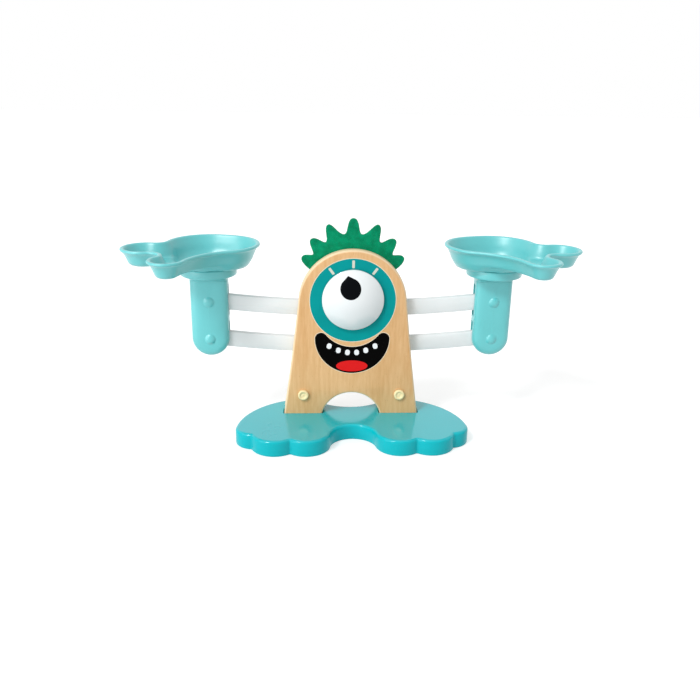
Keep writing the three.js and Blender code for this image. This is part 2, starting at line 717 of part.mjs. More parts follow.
/** A beam around its pivot, with the bores for the two end pins. */
function beamBody() {
  const [front, back] = [-BEAM_THICKNESS / 2, BEAM_THICKNESS / 2];
  const bar = uprightPlate(barShape(), front, back, BEAM_EDGE_ROUNDING, BEAM_SEGMENTS);
  const hub = uprightPlate(hubShape(), front, back, BEAM_EDGE_ROUNDING, BEAM_SEGMENTS);
  const bores = [-1, 1].map((side) => roundBar(
    PIN_RADIUS + RUN_GAP,
    front - CUT_OVERRUN,
    back + CUT_OVERRUN,
    side * PIN_REACH,
    -pinDrop,
  ));
  return shaped(bar, { add: [hub], cut: bores });
}

/** The upper beam, with a hollow journal for the eye in front and a solid one behind. */
function upperBeam() {
  const journalFrontY = SEAT_GAP - beamPlaneY;
  const journalBackY = rearPanelBackY - beamPlaneY;
  const bossSeatY = EYE_BOSS_LENGTH - EYE_STANDOFF + SEAT_GAP - beamPlaneY;
  return shaped(beamBody(), {
    add: [
      roundBar(JOURNAL_FRONT_RADIUS, journalFrontY, 0, 0, 0, FINE_SIDES),
      roundBar(JOURNAL_REAR_RADIUS, 0, journalBackY, 0, 0, FINE_SIDES),
    ],
    cut: [
      roundBar(EYE_BOSS_RADIUS + RUN_GAP, journalFrontY - CUT_OVERRUN, bossSeatY, 0, 0),
      roundBar(SCREW_RADIUS + RUN_GAP, journalFrontY, journalBackY + CUT_OVERRUN, 0, 0, SCREW_SIDES),
    ],
  });
}

/** The lower beam, which turns on a plain axle. */
function lowerBeam() {
  const reach = BEAM_THICKNESS / 2 + CUT_OVERRUN;
  return shaped(beamBody(), { cut: [roundBar(LOWER_AXLE_RADIUS + RUN_GAP, -reach, reach, 0, 0)] });
}

/** The axle of the lower beam, pushed in from behind and seated in a blind hole in front. */
function lowerAxle() {
  const tip = rearPanelBackY - lowerAxleSeatY;
  return turnedBackward([
    [0, -tip],
    [LOWER_AXLE_RADIUS, -tip],
    [LOWER_AXLE_RADIUS, 0],
    [LOWER_AXLE_HEAD_RADIUS, 0],
    [LOWER_AXLE_HEAD_RADIUS, LOWER_AXLE_HEAD_HEIGHT / 2],
    [LOWER_AXLE_RADIUS, LOWER_AXLE_HEAD_HEIGHT],
    [0, LOWER_AXLE_HEAD_HEIGHT],
  ]);
}

/** A thin washer round a pivot, in the middle of the play beside the beam. */
function washer(boreRadius, side) {
  const middle = side * (BEAM_THICKNESS + BEAM_SIDE_PLAY) / 2;
  const [front, back] = [middle - WASHER_THICKNESS / 2, middle + WASHER_THICKNESS / 2];
  return shaped(roundBar(WASHER_RADIUS, front, back, 0, 0), {
    cut: [roundBar(boreRadius + RUN_GAP, front - CUT_OVERRUN, back + CUT_OVERRUN, 0, 0)],
  });
}

// Eye

const eyeCapHeight = EYE_HEIGHT - EYE_RIM_HEIGHT;
const eyeSphereRadius = (EYE_RADIUS ** 2 + eyeCapHeight ** 2) / (2 * eyeCapHeight);
const eyeSphereCentre = EYE_HEIGHT - eyeSphereRadius;

/** Profile points of a dome around the eye's sphere, from its rim to its top. */
function domeProfile(offset, steps) {
  const radius = eyeSphereRadius + offset;
  const rimAngle = Math.asin((EYE_RADIUS + offset) / radius);
  const points = [];
  for (let i = 0; i <= steps; i += 1) {
    const angle = rimAngle * (1 - i / steps);
    points.push([i < steps ? radius * Math.sin(angle) : 0, eyeSphereCentre + radius * Math.cos(angle)]);
  }
  return points;
}

/** A full body under the eye's dome, grown or shrunk by an offset, to cut with. */
function domeCutter(offset) {
  const dome = domeProfile(offset, DOME_STEPS);
  return turnedForward([[0, -CUT_OVERRUN], [dome[0][0], -CUT_OVERRUN], ...dome], EYE_SIDES);
}

/** The pupil's outline: a round that runs to a point, which is the balance's pointer. */
function pupilShape(grow) {
  const radius = PUPIL_RADIUS + grow;
  const reach = PUPIL_TIP_REACH + grow;
  const tangent = Math.acos(radius / reach);
  const shape = new THREE.Shape();
  shape.moveTo(0, PUPIL_OFFSET + reach);
  shape.absarc(0, PUPIL_OFFSET, radius, Math.PI / 2 + tangent, Math.PI / 2 - tangent + 2 * Math.PI);
  shape.closePath();
  return shape;
}

/** The pupil's outline as a bar right through the dome. */
function pupilBar(grow) {
  return uprightPlate(pupilShape(grow), -EYE_HEIGHT - CUT_OVERRUN, 0, 0, ROUND_SIDES);
}

/** The eye: a domed cap with a core and a boss that plugs into the upper beam's journal. */
function eyeDome() {
  const outer = domeProfile(0, DOME_STEPS);
  const inner = domeProfile(-EYE_WALL, DOME_STEPS).reverse();
  const coreTop = inner.findIndex(([radius]) => radius > EYE_CORE_RADIUS);
  const hollow = inner.slice(coreTop).filter(([, height]) => height > EYE_WALL / 2);
  const cap = turnedForward([
    [0, -EYE_BOSS_LENGTH],
    [EYE_BOSS_RADIUS, -EYE_BOSS_LENGTH],
    [EYE_BOSS_RADIUS, 0],
    [EYE_CORE_RADIUS, 0],
    [EYE_CORE_RADIUS, hollow[0][1]],
    ...hollow,
    [EYE_RADIUS - EYE_WALL, 0],
    [EYE_RADIUS, 0],
    ...outer,
  ], EYE_SIDES);
  const pocket = shaped(pupilBar(RUN_GAP), { cut: [domeCutter(-PUPIL_INLAY_DEPTH)] });
  const screwHoleEnd = EYE_BOSS_LENGTH + CUT_OVERRUN;
  const screwHole = roundBar(SCREW_RADIUS + RUN_GAP, -EYE_WALL, screwHoleEnd, 0, 0, SCREW_SIDES);
  return shaped(cap, { cut: [pocket, screwHole] });
}

/** The black inlay that fills the pocket in the dome and stands a little proud. */
function pupil() {
  const lens = shaped(domeCutter(PUPIL_PROUD), { cut: [domeCutter(SEAT_GAP - PUPIL_INLAY_DEPTH)] });
  return geometryOf(solidOf(pupilBar(0)).intersect(solidOf(lens)));
}

// Posts

/** The post's front outline, drawn in by an inset: straight sides over a half-round lower end. */
function postOutline(inset, topZ) {
  const half = POST_HALF_WIDTH - inset;
  const points = [];
  for (let i = 0; i <= POST_END_STEPS; i += 1) {
    const angle = Math.PI + (Math.PI * i) / POST_END_STEPS;
    points.push([half * Math.cos(angle), lowerPinZ + half * Math.sin(angle)]);
  }
  points.push([half, topZ], [-half, topZ]);
  return points;
}

/** Half of the post's pillow, from the beam plane to its face: the edge rolls over, the face is flat. */
function postPillow(wall, topZ) {
  const depth = POST_HALF_DEPTH - wall;
  const rings = [];
  for (let i = 0; i <= POST_ROLL_STEPS; i += 1) {
    const angle = (i / POST_ROLL_STEPS) * (Math.PI / 2);
    const roll = POST_EDGE_ROLL * (1 - Math.sqrt(Math.cos(angle)));
    rings.push({ outline: postOutline(wall + roll, topZ), level: depth * Math.sqrt(Math.sin(angle)) });
  }
  return skinned(rings, FORWARD);
}

/** The same shape seen in a mirror across the plane of X and Z. */
function facingBack(geometry) {
  return mirrored(geometry.clone().rotateZ(Math.PI));
}

/** One shell of a post around the post's axis on the beam plane, with bosses, bores and slots. */
function postShell(isFront) {
  const facing = (geometry) => (isFront ? geometry : facingBack(geometry));
  const bar = (radius, near, far, z, sides) => facing(roundBar(radius, -far, -near, 0, z, sides));
  const parting = SEAT_GAP / 2;
  const bossRoot = POST_HALF_DEPTH - POST_WALL / 2;
  const add = [];
  const cut = [block(
    [-2 * POST_HALF_WIDTH, -parting, 0],
    [2 * POST_HALF_WIDTH, parting, dishRimZ],
  )];
  for (const z of [upperPinZ, lowerPinZ]) {
    const bump = turnedForward([
      [0, -POST_WALL / 2],
      [PIN_BUMP_RADIUS, -POST_WALL / 2],
      [PIN_BUMP_RADIUS, 0],
      [PIN_BUMP_RADIUS - PIN_BUMP_ROUNDING / 3, PIN_BUMP_HEIGHT / 2],
      [PIN_BUMP_RADIUS - PIN_BUMP_ROUNDING, PIN_BUMP_HEIGHT],
      [0, PIN_BUMP_HEIGHT],
    ]);
    const slotHalf = BEAM_THICKNESS / 2 + 2 * RUN_GAP;
    add.push(facing(bump.translate(0, -POST_HALF_DEPTH, z)));
    add.push(bar(PIN_BOSS_RADIUS, BEAM_THICKNESS / 2 + RUN_GAP, bossRoot, z));
    cut.push(bar(PIN_RADIUS + RUN_GAP, 0, PIN_HALF_LENGTH + SEAT_GAP, z));
    cut.push(block(
      [-POST_HALF_WIDTH - CUT_OVERRUN, -slotHalf, z - SLOT_BELOW_PIN],
      [-PIN_BOSS_RADIUS, slotHalf, z + SLOT_ABOVE_PIN],
    ));
  }
  for (const z of postScrewZs) {
    add.push(bar(SCREW_BOSS_RADIUS, 0, bossRoot, z));
    cut.push(bar(SCREW_RADIUS + RUN_GAP, 0, isFront ? POST_SCREW_GRIP + SEAT_GAP : bossRoot, z));
    if (!isFront) {
      const seat = POST_HALF_DEPTH - SCREW_HEAD_HEIGHT - SEAT_GAP;
      cut.push(bar(SCREW_HEAD_RADIUS + RUN_GAP, seat, POST_HALF_DEPTH + CUT_OVERRUN, z));
    }
  }
  const inside = facing(postPillow(POST_WALL, POST_TOP_Z + CUT_OVERRUN));
  const shell = shaped(facing(postPillow(0, POST_TOP_Z)), { cut: [inside] });
  return shaped(shell, { add, cut });
}

/** A screw that holds a post's shells together, driven from behind. */
function postScrew(z) {
  const seat = POST_HALF_DEPTH - SCREW_HEAD_HEIGHT;
  const screw = backScrew(seat + POST_SCREW_GRIP);
  screw.translate(0, seat, z);
  return screw;
}

/** A pin that joins a beam's end to its post. */
function endPin(z) {
  return roundBar(PIN_RADIUS, -PIN_HALF_LENGTH, PIN_HALF_LENGTH, 0, z);
}

/** The post's plan outline, a rounded oblong, as many points as the collar's circle has. */
function postPlan(inset) {
  const points = [];
  for (let i = 0; i < FINE_SIDES; i += 1) {
    const angle = (2 * Math.PI * i) / FINE_SIDES;
    const [c, s] = [Math.cos(angle), Math.sin(angle)];
    points.push([
      (POST_HALF_WIDTH - inset) * Math.sign(c) * Math.sqrt(Math.abs(c)),
      (POST_HALF_DEPTH - inset) * Math.sign(s) * Math.sqrt(Math.abs(s)),
    ]);
  }
  return points;
}

/** A circle around the post's axis, with as many points as the post's plan outline. */
function circle(radius) {
  const points = [];
  addArc(points, { x: 0, y: 0, r: radius }, 0, 2 * Math.PI, (2 * Math.PI) / FINE_SIDES);
  return points;
}

/** The collar that caps the post: a plug, a flare from oblong to round, and a recessed ring. */
function collar() {
  const low = POST_TOP_Z + SEAT_GAP;
  const flareTop = low + COLLAR_FLARE_HEIGHT;
  const edge = COLLAR_EDGE_ROUNDING;
  const plug = postPlan(POST_WALL + 2 * RUN_GAP);
  const body = skinned([
    { outline: plug, level: low - COLLAR_PLUG_DEPTH },
    { outline: plug, level: low },
    { outline: postPlan(0), level: low },
    { outline: circle(COLLAR_RADIUS - edge), level: flareTop - edge },
    { outline: circle(COLLAR_RADIUS), level: flareTop },
    { outline: circle(COLLAR_RADIUS), level: collarTopZ - edge },
    { outline: circle(COLLAR_RADIUS - edge), level: collarTopZ },
  ], UP);
  const recess = uprightBar(
    DISH_SPIGOT_RADIUS + RUN_GAP,
    collarTopZ - DISH_SPIGOT_DEPTH,
    collarTopZ + CUT_OVERRUN,
    0,
    0,
    FINE_SIDES,
  );
  return shaped(body, { cut: [recess] });
}

// Dishes

// The dish's lobes seen from above, around the post and for the right side, as palm shares
const dishShares = [
  { x: 0.683, y: -1.7, r: 0.416, web: 0.262 },
  { x: 1.386, y: -0.497, r: 0.526, web: 0.235 },
  { x: 0, y: 0, r: 1, web: 2.4, full: true },
  { x: -0.302, y: 0, r: 0.921, web: 1.362 },
];

const palmShares = dishShares.filter((lobe) => lobe.y === 0).map((lobe) => ({
  ...lobe,
  web: 2.4,
  full: true,
}));
const dishWaistShare = 0.57;
const footBendShares = { inset: 0.3, rise: 0.2 };
const floorBendShare = 0.8;

// How the basin under the palm runs from its flat floor up into the wall, outside and inside
const basinShares = [
  { inset: 1, rise: 0, wallIn: 0.3, floorUp: 1 },
  { inset: 0.87, rise: 0.05, wallIn: 0.43, floorUp: 0.95 },
  { inset: 0.45, rise: 0.3, wallIn: 0.57, floorUp: 0.86 },
  { inset: 0.1, rise: 0.68, wallIn: 0.8, floorUp: 0.6 },
  { inset: 0, rise: 1, wallIn: 1, floorUp: 0.3 },
];

/** A plan outline of some of the dish's lobes at an inset from its rim. */
function dishOutline(shares, inset) {
  return lobedOutline(shares.map((lobe) => ({
    x: lobe.x * PALM_RADIUS,
    y: lobe.y * PALM_RADIUS,
    r: lobe.r * PALM_RADIUS,
    web: lobe.web * PALM_RADIUS,
    full: lobe.full,
  })), inset);
}

/** The skin of the basin under the palm: its outside, or with a share of the wall its inside. */
function basin(wallShare) {
  const foot = DISH_LIP + DISH_WALL_SLOPE;
  return skinned(basinShares.map(({ inset, rise, wallIn, floorUp }) => ({
    outline: dishOutline(
      palmShares,
      foot + inset * (BASIN_FLOOR_INSET - foot) + wallShare * wallIn * DISH_WALL,
    ),
    level: dishBottomZ + rise * BASIN_HEIGHT + wallShare * floorUp * DISH_FLOOR,
  })), UP);
}

/** The dish: shallow lobes with a turned lip over a basin, a flat floor and a spigot. */
function dish() {
  const ring = (inset, level) => ({ outline: dishOutline(dishShares, inset), level });
  const foot = DISH_LIP + DISH_WALL_SLOPE;
  const round = DISH_FOOT_ROUNDING;
  const fingerZ = dishRimZ - FINGER_DEPTH;
  const floorZ = fingerZ + DISH_FLOOR;
  const lipLow = dishRimZ - DISH_LIP_HEIGHT;
  const waist = foot * dishWaistShare;
  const waistZ = (fingerZ + round + lipLow) / 2;
  const outside = skinned([
    ring(foot + round, fingerZ),
    ring(foot + round * footBendShares.inset, fingerZ + round * footBendShares.rise),
    ring(foot, fingerZ + round),
    ring(waist, waistZ),
    ring(DISH_LIP, lipLow),
    ring(0, lipLow + DISH_LIP / 2),
    ring(0, dishRimZ - DISH_LIP / 2),
    ring(DISH_LIP / 2, dishRimZ),
  ], UP);
  const inside = skinned([
    ring(foot + round + DISH_WALL / 2, floorZ),
    ring(foot + DISH_WALL, floorZ + round * floorBendShare),
    ring(waist + DISH_WALL, waistZ),
    ring(DISH_LIP + DISH_WALL, dishRimZ - DISH_LIP / 2),
    ring(DISH_LIP + DISH_WALL / 2, dishRimZ),
    ring(DISH_LIP + DISH_WALL / 2, dishRimZ + CUT_OVERRUN),
  ], UP);
  const spigot = uprightBar(
    DISH_SPIGOT_RADIUS,
    dishBottomZ - DISH_SPIGOT_DEPTH + SEAT_GAP,
    dishBottomZ + DISH_FLOOR / 2,
    0,
    0,
    FINE_SIDES,
  );
  return shaped(outside, { add: [basin(0), spigot], cut: [inside, basin(1)] });
}

/** One dish with its collar, post, pins and screws, around the post's axis on the beam plane. */
function panAssembly(side, label) {
  const sided = (geometry) => (side > 0 ? geometry : mirrored(geometry));
  const group = new THREE.Group();
  group.position.set(side * PIN_REACH, beamPlaneY, 0);
  group.add(
    piece(`${label}_pan`, sided(dish()), AQUA, 0.35),
    piece(`${label}_collar`, sided(collar()), AQUA, 0.38),
    piece(`${label}_post_front`, sided(postShell(true)), AQUA, 0.38),
    piece(`${label}_post_rear`, sided(postShell(false)), AQUA, 0.38),
    piece(`${label}_upper_pin`, endPin(upperPinZ), STEEL, 0.3, 1),
    piece(`${label}_lower_pin`, endPin(lowerPinZ), STEEL, 0.3, 1),
    piece(`${label}_post_middle_screw`, postScrew(postScrewZs[0]), STEEL, 0.35, 1),
    piece(`${label}_post_top_screw`, postScrew(postScrewZs[1]), STEEL, 0.35, 1),
  );
  return group;
}

/** The fixed stand: base, body panels and everything fastened to them. */
function stand() {
  const group = new THREE.Group();
  group.add(
    piece('base_plate', basePlate(), TEAL, 0.25),
    piece('front_panel', frontPanel(), WOOD, 0.55),
    piece('rear_panel', rearPanel(), WOOD, 0.55),
    piece('crest', crest(), FELT_GREEN, 0.95),
    piece('crest_spacer', crestSpacer(), WOOD, 0.6),
  );
  for (const [side, label] of [[-1, 'left'], [1, 'right']]) {
    group.add(
      piece(`${label}_inner_base_screw`, baseScrew(side * legScrewXs[0]), STEEL, 0.35, 1),
      piece(`${label}_outer_base_screw`, baseScrew(side * legScrewXs[1]), STEEL, 0.35, 1),
      piece(`${label}_leg_spacer`, legSpacer(side), WOOD, 0.6),
      piece(`${label}_peg`, peg(side), PEG_CREAM, 0.45),
      piece(`${label}_crest_screw`, crestScrew(side), STEEL, 0.35, 1),
    );
  }
  const axle = piece('lower_axle', lowerAxle(), STEEL, 0.3, 1);
  axle.position.set(0, rearPanelBackY + SEAT_GAP, lowerPivotZ);
  group.add(axle);
  const pivots = [
    { label: 'upper', z: UPPER_PIVOT_Z, bores: [JOURNAL_FRONT_RADIUS, JOURNAL_REAR_RADIUS] },
    { label: 'lower', z: lowerPivotZ, bores: [LOWER_AXLE_RADIUS, LOWER_AXLE_RADIUS] },
  ];
  for (const { label, z, bores } of pivots) {
    const front = piece(`${label}_front_washer`, washer(bores[0], -1), NYLON, 0.5);
    const rear = piece(`${label}_rear_washer`, washer(bores[1], 1), NYLON, 0.5);
    front.position.set(0, beamPlaneY, z);
    rear.position.set(0, beamPlaneY, z);
    group.add(front, rear);
  }
  return group;
}

/** The two beams on their pivots. */
function beams() {
  const group = new THREE.Group();
  const upper = piece('upper_beam', upperBeam(), WHITE, 0.35);
  const lower = piece('lower_beam', lowerBeam(), WHITE, 0.35);
  upper.position.set(0, beamPlaneY, UPPER_PIVOT_Z);
  lower.position.set(0, beamPlaneY, lowerPivotZ);
  group.add(upper, lower);
  return group;
}

/** The eye in front of the body, turned so that its pointer stands left of upright. */
function eye() {
  const group = new THREE.Group();
  group.position.set(0, -EYE_STANDOFF, UPPER_PIVOT_Z);
  group.rotation.y = POINTER_REST_ANGLE;
  const screw = piece('eye_screw', backScrew(rearPanelBackY + SEAT_GAP), STEEL, 0.35, 1);
  screw.position.set(0, rearPanelBackY + SEAT_GAP + EYE_STANDOFF, 0);
  group.add(
    piece('eye_dome', eyeDome(), WHITE, 0.15),
    piece('pupil', pupil(), BLACK, 0.12),
    screw,
  );
  return group;
}

const balance = new THREE.Group();
balance.name = 'math_balance';
balance.add(stand(), beams(), eye(), panAssembly(-1, 'left'), panAssembly(1, 'right'));

export default balance;
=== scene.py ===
"""A wooden math balance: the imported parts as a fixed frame, with felt, prints and finishes on them."""

import json
import logging
import math
from collections.abc import Callable, Iterator, Sequence
from contextlib import contextmanager
from dataclasses import dataclass
from enum import Enum

import bmesh
import bpy
from mathutils import Matrix, Vector

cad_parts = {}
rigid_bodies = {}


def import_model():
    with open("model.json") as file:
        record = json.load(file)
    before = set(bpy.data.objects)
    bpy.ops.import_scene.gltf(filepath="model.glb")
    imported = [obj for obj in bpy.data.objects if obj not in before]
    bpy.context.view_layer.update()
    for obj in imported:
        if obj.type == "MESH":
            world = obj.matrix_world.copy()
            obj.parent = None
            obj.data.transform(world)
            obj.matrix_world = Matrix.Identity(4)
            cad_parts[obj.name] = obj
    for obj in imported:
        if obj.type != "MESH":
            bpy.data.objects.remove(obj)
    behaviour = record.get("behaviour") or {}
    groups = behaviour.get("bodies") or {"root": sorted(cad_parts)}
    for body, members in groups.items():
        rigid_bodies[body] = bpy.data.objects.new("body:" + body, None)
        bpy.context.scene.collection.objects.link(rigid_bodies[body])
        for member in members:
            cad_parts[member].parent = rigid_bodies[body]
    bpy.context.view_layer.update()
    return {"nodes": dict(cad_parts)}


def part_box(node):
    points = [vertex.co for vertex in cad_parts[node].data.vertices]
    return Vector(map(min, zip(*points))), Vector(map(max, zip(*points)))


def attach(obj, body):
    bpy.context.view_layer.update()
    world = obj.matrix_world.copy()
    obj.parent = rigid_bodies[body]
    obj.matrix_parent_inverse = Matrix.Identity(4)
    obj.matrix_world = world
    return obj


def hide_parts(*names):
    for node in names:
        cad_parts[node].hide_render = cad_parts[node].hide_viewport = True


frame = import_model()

MM = 0.001
WELD = 1e-6
log = logging.getLogger("balance")

Point = tuple[float, float]
Colour = tuple[float, float, float, float]
Place = Callable[[float, float, float], Vector]


class Side(Enum):
    """One of the two sides, seen from the front."""

    LEFT = -1
    RIGHT = 1

    @property
    def label(self) -> str:
        """The word that the side's pieces start with."""
        return self.name.lower()


class Cut(Enum):
    """What one solid does to another."""

    TAKE_OFF = "DIFFERENCE"
    JOIN_ON = "UNION"


def colour(red: int, green: int, blue: int) -> Colour:
    """A screen colour, 0 to 255, as the linear one a shader takes.

    Args:
        red: Red share.
        green: Green share.
        blue: Blue share.

    Returns:
        Linear red, green, blue and full alpha.
    """

    def linear(value: int) -> float:
        """One share made linear."""
        share = value / 255
        return share / 12.92 if share <= 0.04045 else ((share + 0.055) / 1.055) ** 2.4

    return (linear(red), linear(green), linear(blue), 1.0)


# Ways to model


def deselect() -> None:
    """Leaves edit mode and selects nothing."""
    if bpy.context.object and bpy.context.object.mode != "OBJECT":
        bpy.ops.object.mode_set(mode="OBJECT")
    bpy.ops.object.select_all(action="DESELECT")


def take(obj: bpy.types.Object) -> None:
    """Makes one object the active and only selected one.

    Args:
        obj: The object.
    """
    deselect()
    obj.select_set(True)
    bpy.context.view_layer.objects.active = obj


@contextmanager
def editing(obj: bpy.types.Object) -> Iterator[bmesh.types.BMesh]:
    """Edit mode on one object, with nothing selected in it.

    Args:
        obj: The mesh object to edit.

    Returns:
        Its edit mesh, for selecting by place or normal.
    """
    take(obj)
    bpy.ops.object.mode_set(mode="EDIT")
    bpy.ops.mesh.select_all(action="DESELECT")
    bpy.ops.mesh.select_mode(type="FACE")
    yield bmesh.from_edit_mesh(obj.data)
    bpy.ops.object.mode_set(mode="OBJECT")


def select_faces(obj: bpy.types.Object, test: Callable[[bmesh.types.BMFace], bool]) -> None:
    """Selects, in edit mode, the faces that pass a test on their place or normal.

    Args:
        obj: The object in edit mode.
        test: True for a face to select.
    """
    mesh = bmesh.from_edit_mesh(obj.data)
    bpy.ops.mesh.select_all(action="DESELECT")
    for face in mesh.faces:
        if test(face):
            face.select_set(True)
    bmesh.update_edit_mesh(obj.data)


def finish_with(obj: bpy.types.Object, kind: str, **settings: object) -> None:
    """Adds one modifier with its settings and applies it.

    Args:
        obj: The object.
        kind: The modifier's type.
        **settings: The modifier's own settings.
    """
    take(obj)
    modifier = obj.modifiers.new(kind.lower(), kind)
    for key, value in settings.items():
        setattr(modifier, key, value)
    bpy.ops.object.modifier_apply(modifier=modifier.name)


def settle(obj: bpy.types.Object, name: str, smooth: float = 30.0) -> bpy.types.Object:
    """Applies an object's place to its mesh, names it and smooths the shading.

    Args:
        obj: The finished object.
        name: Its name.
        smooth: Largest angle in degrees that still shades as one surface.

    Returns:
        The same object.
    """
    take(obj)
    bpy.ops.object.transform_apply(location=True, rotation=True, scale=True)
    bpy.ops.object.shade_smooth_by_angle(angle=math.radians(smooth))
    obj.name = name
    obj.data.name = name
    return obj


def arc(x: float, y: float, radius: float, start: float, turn: float, step: float) -> list[Point]:
    """Points of one arc without its end.

    Args:
        x: Centre.
        y: Centre.
        radius: Radius.
        start: Start angle in radians.
        turn: Turn in radians, positive counter-clockwise.
        step: Largest angle between two points.

    Returns:
        The points in order.
    """
    steps = max(2, math.ceil(abs(turn) / step))
    angles = [start + turn * i / steps for i in range(steps)]
    return [(x + radius * math.cos(a), y + radius * math.sin(a)) for a in angles]


@dataclass(frozen=True)
class Lobe:
    """A round part of an outline, and the radius of the web to the next one."""

    x: float
    y: float
    r: float
    web: float
    full: bool = False


def lobed(lobes: Sequence[Lobe], inset: float = 0.0, step: float = 6.0) -> list[Point]:
    """Walks counter-clockwise round lobes and the webs between them, drawn in by an inset.

    Args:
        lobes: Lobes in order.
        inset: How far the whole outline is drawn in.
        step: Largest angle in degrees between two points.

    Returns:
        The outline's points. Outlines at different insets match point by point.
    """
    webs = []
    for a, b in zip(lobes, [*lobes[1:], lobes[0]]):
        sign = -1 if a.full else 1
        span = math.hypot(b.x - a.x, b.y - a.y)
        from_a, from_b = a.web + sign * a.r, a.web + sign * b.r
        along = (from_a**2 - from_b**2 + span**2) / (2 * span)
        aside = sign * math.sqrt(from_a**2 - along**2)
        ux, uy = (b.x - a.x) / span, (b.y - a.y) / span
        x, y = a.x + ux * along + uy * aside, a.y + uy * along - ux * aside
        leave = math.atan2(sign * (y - a.y), sign * (x - a.x))
        enter = math.atan2(sign * (y - b.y), sign * (x - b.x))
        webs.append((x, y, a.web, sign, leave, enter))
    points: list[Point] = []
    largest = math.radians(step)
    for i, lobe in enumerate(lobes):
        came = webs[i - 1][5]
        x, y, r, sign, leave, enter = webs[i]
        points += arc(lobe.x, lobe.y, lobe.r - inset, came, (leave - came) % math.tau, largest)
        start = leave + (math.pi if sign > 0 else 0)
        turn = -sign * ((sign * (leave - enter)) % math.tau)
        points += arc(x, y, r + sign * inset, start, turn, largest)
    return points


def skinned(name: str, rings: Sequence[tuple[Sequence[Point], float]], place: Place) -> bpy.types.Object:
    """A closed skin drawn from a disc by extruding it from ring to ring.

    Args:
        name: The piece's name.
        rings: Outlines with their levels. All outlines have the same number of points.
        place: Gives the place of a point of an outline at a level.

    Returns:
        The new object, closed by a cap at each end.
    """
    outline, level = rings[0]
    bpy.ops.mesh.primitive_circle_add(vertices=len(outline), radius=1, fill_type="NGON")
    obj = bpy.context.object
    obj.name = name
    with editing(obj) as mesh:
        bpy.ops.mesh.select_all(action="SELECT")
        mesh.verts.ensure_lookup_table()
        for vert, (u, v) in zip(mesh.verts, outline):
            vert.co = place(u, v, level)
        track = list(range(len(outline)))
        for outline, level in rings[1:]:
            before = {tuple(mesh.verts[i].co): k for k, i in enumerate(track)}
            bpy.ops.mesh.extrude_region_move()
            mesh = bmesh.from_edit_mesh(obj.data)
            mesh.verts.ensure_lookup_table()
            track = [0] * len(outline)
            for vert in [v for v in mesh.verts if v.select]:
                k = before[tuple(vert.co)]
                track[k] = vert.index
                vert.co = place(*outline[k], level)
            bmesh.update_edit_mesh(obj.data)
        bpy.ops.mesh.select_all(action="SELECT")
        bpy.ops.mesh.normals_make_consistent(inside=False)
    return obj


def cut_sheet(
    name: str, outline: Sequence[Point], front: float, back: float, rounding: float = 0.0
) -> bpy.types.Object:
    """A flat piece cut to an outline, standing in the plane of X and Z.

    Args:
        name: The piece's name.
        outline: Points, X and Z.
        front: Y of the front face.
        back: Y of the back face.
        rounding: Rounding of its edges.

    Returns:
        The new object.
    """
    bpy.ops.curve.primitive_bezier_curve_add()
    obj = bpy.context.object
    curve = obj.data
    curve.dimensions = "2D"
    curve.fill_mode = "BOTH"
    curve.splines.clear()
    spline = curve.splines.new("POLY")
    spline.points.add(len(outline) - 1)
    for point, (x, z) in zip(spline.points, outline):
        point.co = (x, z, 0, 1)
    spline.use_cyclic_u = True
    curve.extrude = (back - front) / 2 - rounding
    curve.bevel_depth = rounding
    curve.bevel_resolution = 3
    curve.offset = -rounding
    obj.rotation_euler = (math.pi / 2, 0, 0)
    obj.location = (0, (front + back) / 2, 0)
    take(obj)
    bpy.ops.object.convert(target="MESH")
    obj = bpy.context.object
    with editing(obj):
        bpy.ops.mesh.select_all(action="SELECT")
        bpy.ops.mesh.remove_doubles(threshold=WELD)
        bpy.ops.mesh.normals_make_consistent(inside=False)
    return settle(obj, name)


def clamped(share: float) -> float:
    """A share kept between zero and one."""
    return min(max(share, 0.0), 1.0)


def disc(radius: float, sides: int) -> list[Point]:
    """Points of a whole circle round the middle."""
    return arc(0, 0, radius, 0, math.tau, math.tau / sides)


def upright(u: float, v: float, level: float) -> Vector:
    """Places an outline level, with its stack rising."""
    return Vector((u, v, level))


def turned(
    name: str, profile: Sequence[Point], foot: Vector, forward: bool, sides: int = 64
) -> bpy.types.Object:
    """A turned piece whose axis runs along Y.

    Args:
        name: The piece's name.
        profile: Radius and height from its foot to its top.
        foot: Where height zero is on the axis.
        forward: True where it rises towards the viewer.
        sides: Points round it.

    Returns:
        The new object.
    """
    sign = -1 if forward else 1

    def place(u: float, v: float, level: float) -> Vector:
        """Puts the stack along Y."""
        return foot + Vector((u, sign * level, v))

    return skinned(name, [(disc(max(r, 0.05 * MM), sides), h) for r, h in profile], place)


def cap_grid(obj: bpy.types.Object, level: float, low: Point, high: Point, step: float) -> None:
    """Cuts the faces at one level into a grid, so that they can be shaped.

    Args:
        obj: The object.
        level: Height of the flat faces.
        low: Lowest X and Y of the grid.
        high: Highest X and Y of the grid.
        step: Distance between two cuts.
    """

    def at_level(face: bmesh.types.BMFace) -> bool:
        """True for a flat face at the level."""
        return abs(face.calc_center_median().z - level) < WELD and abs(face.normal.z) > 0.9

    with editing(obj):
        for axis in (0, 1):
            normal = Vector((1, 0, 0)) if axis == 0 else Vector((0, 1, 0))
            count = int((high[axis] - low[axis]) / step)
            for i in range(1, count):
                select_faces(obj, at_level)
                bpy.ops.mesh.bisect(plane_co=normal * (low[axis] + i * step), plane_no=normal)


def carve(obj: bpy.types.Object, tool: bpy.types.Object, how: Cut = Cut.TAKE_OFF) -> None:
    """Cuts a tool out of an object, or joins it on, and removes the tool."""
    finish_with(obj, "BOOLEAN", object=tool, operation=how.value, solver="EXACT")
    bpy.data.objects.remove(tool)


def block(low: Vector, high: Vector) -> bpy.types.Object:
    """A plain block to cut with."""
    bpy.ops.mesh.primitive_cube_add(size=1, location=(low + high) / 2, scale=high - low)
    return bpy.context.object


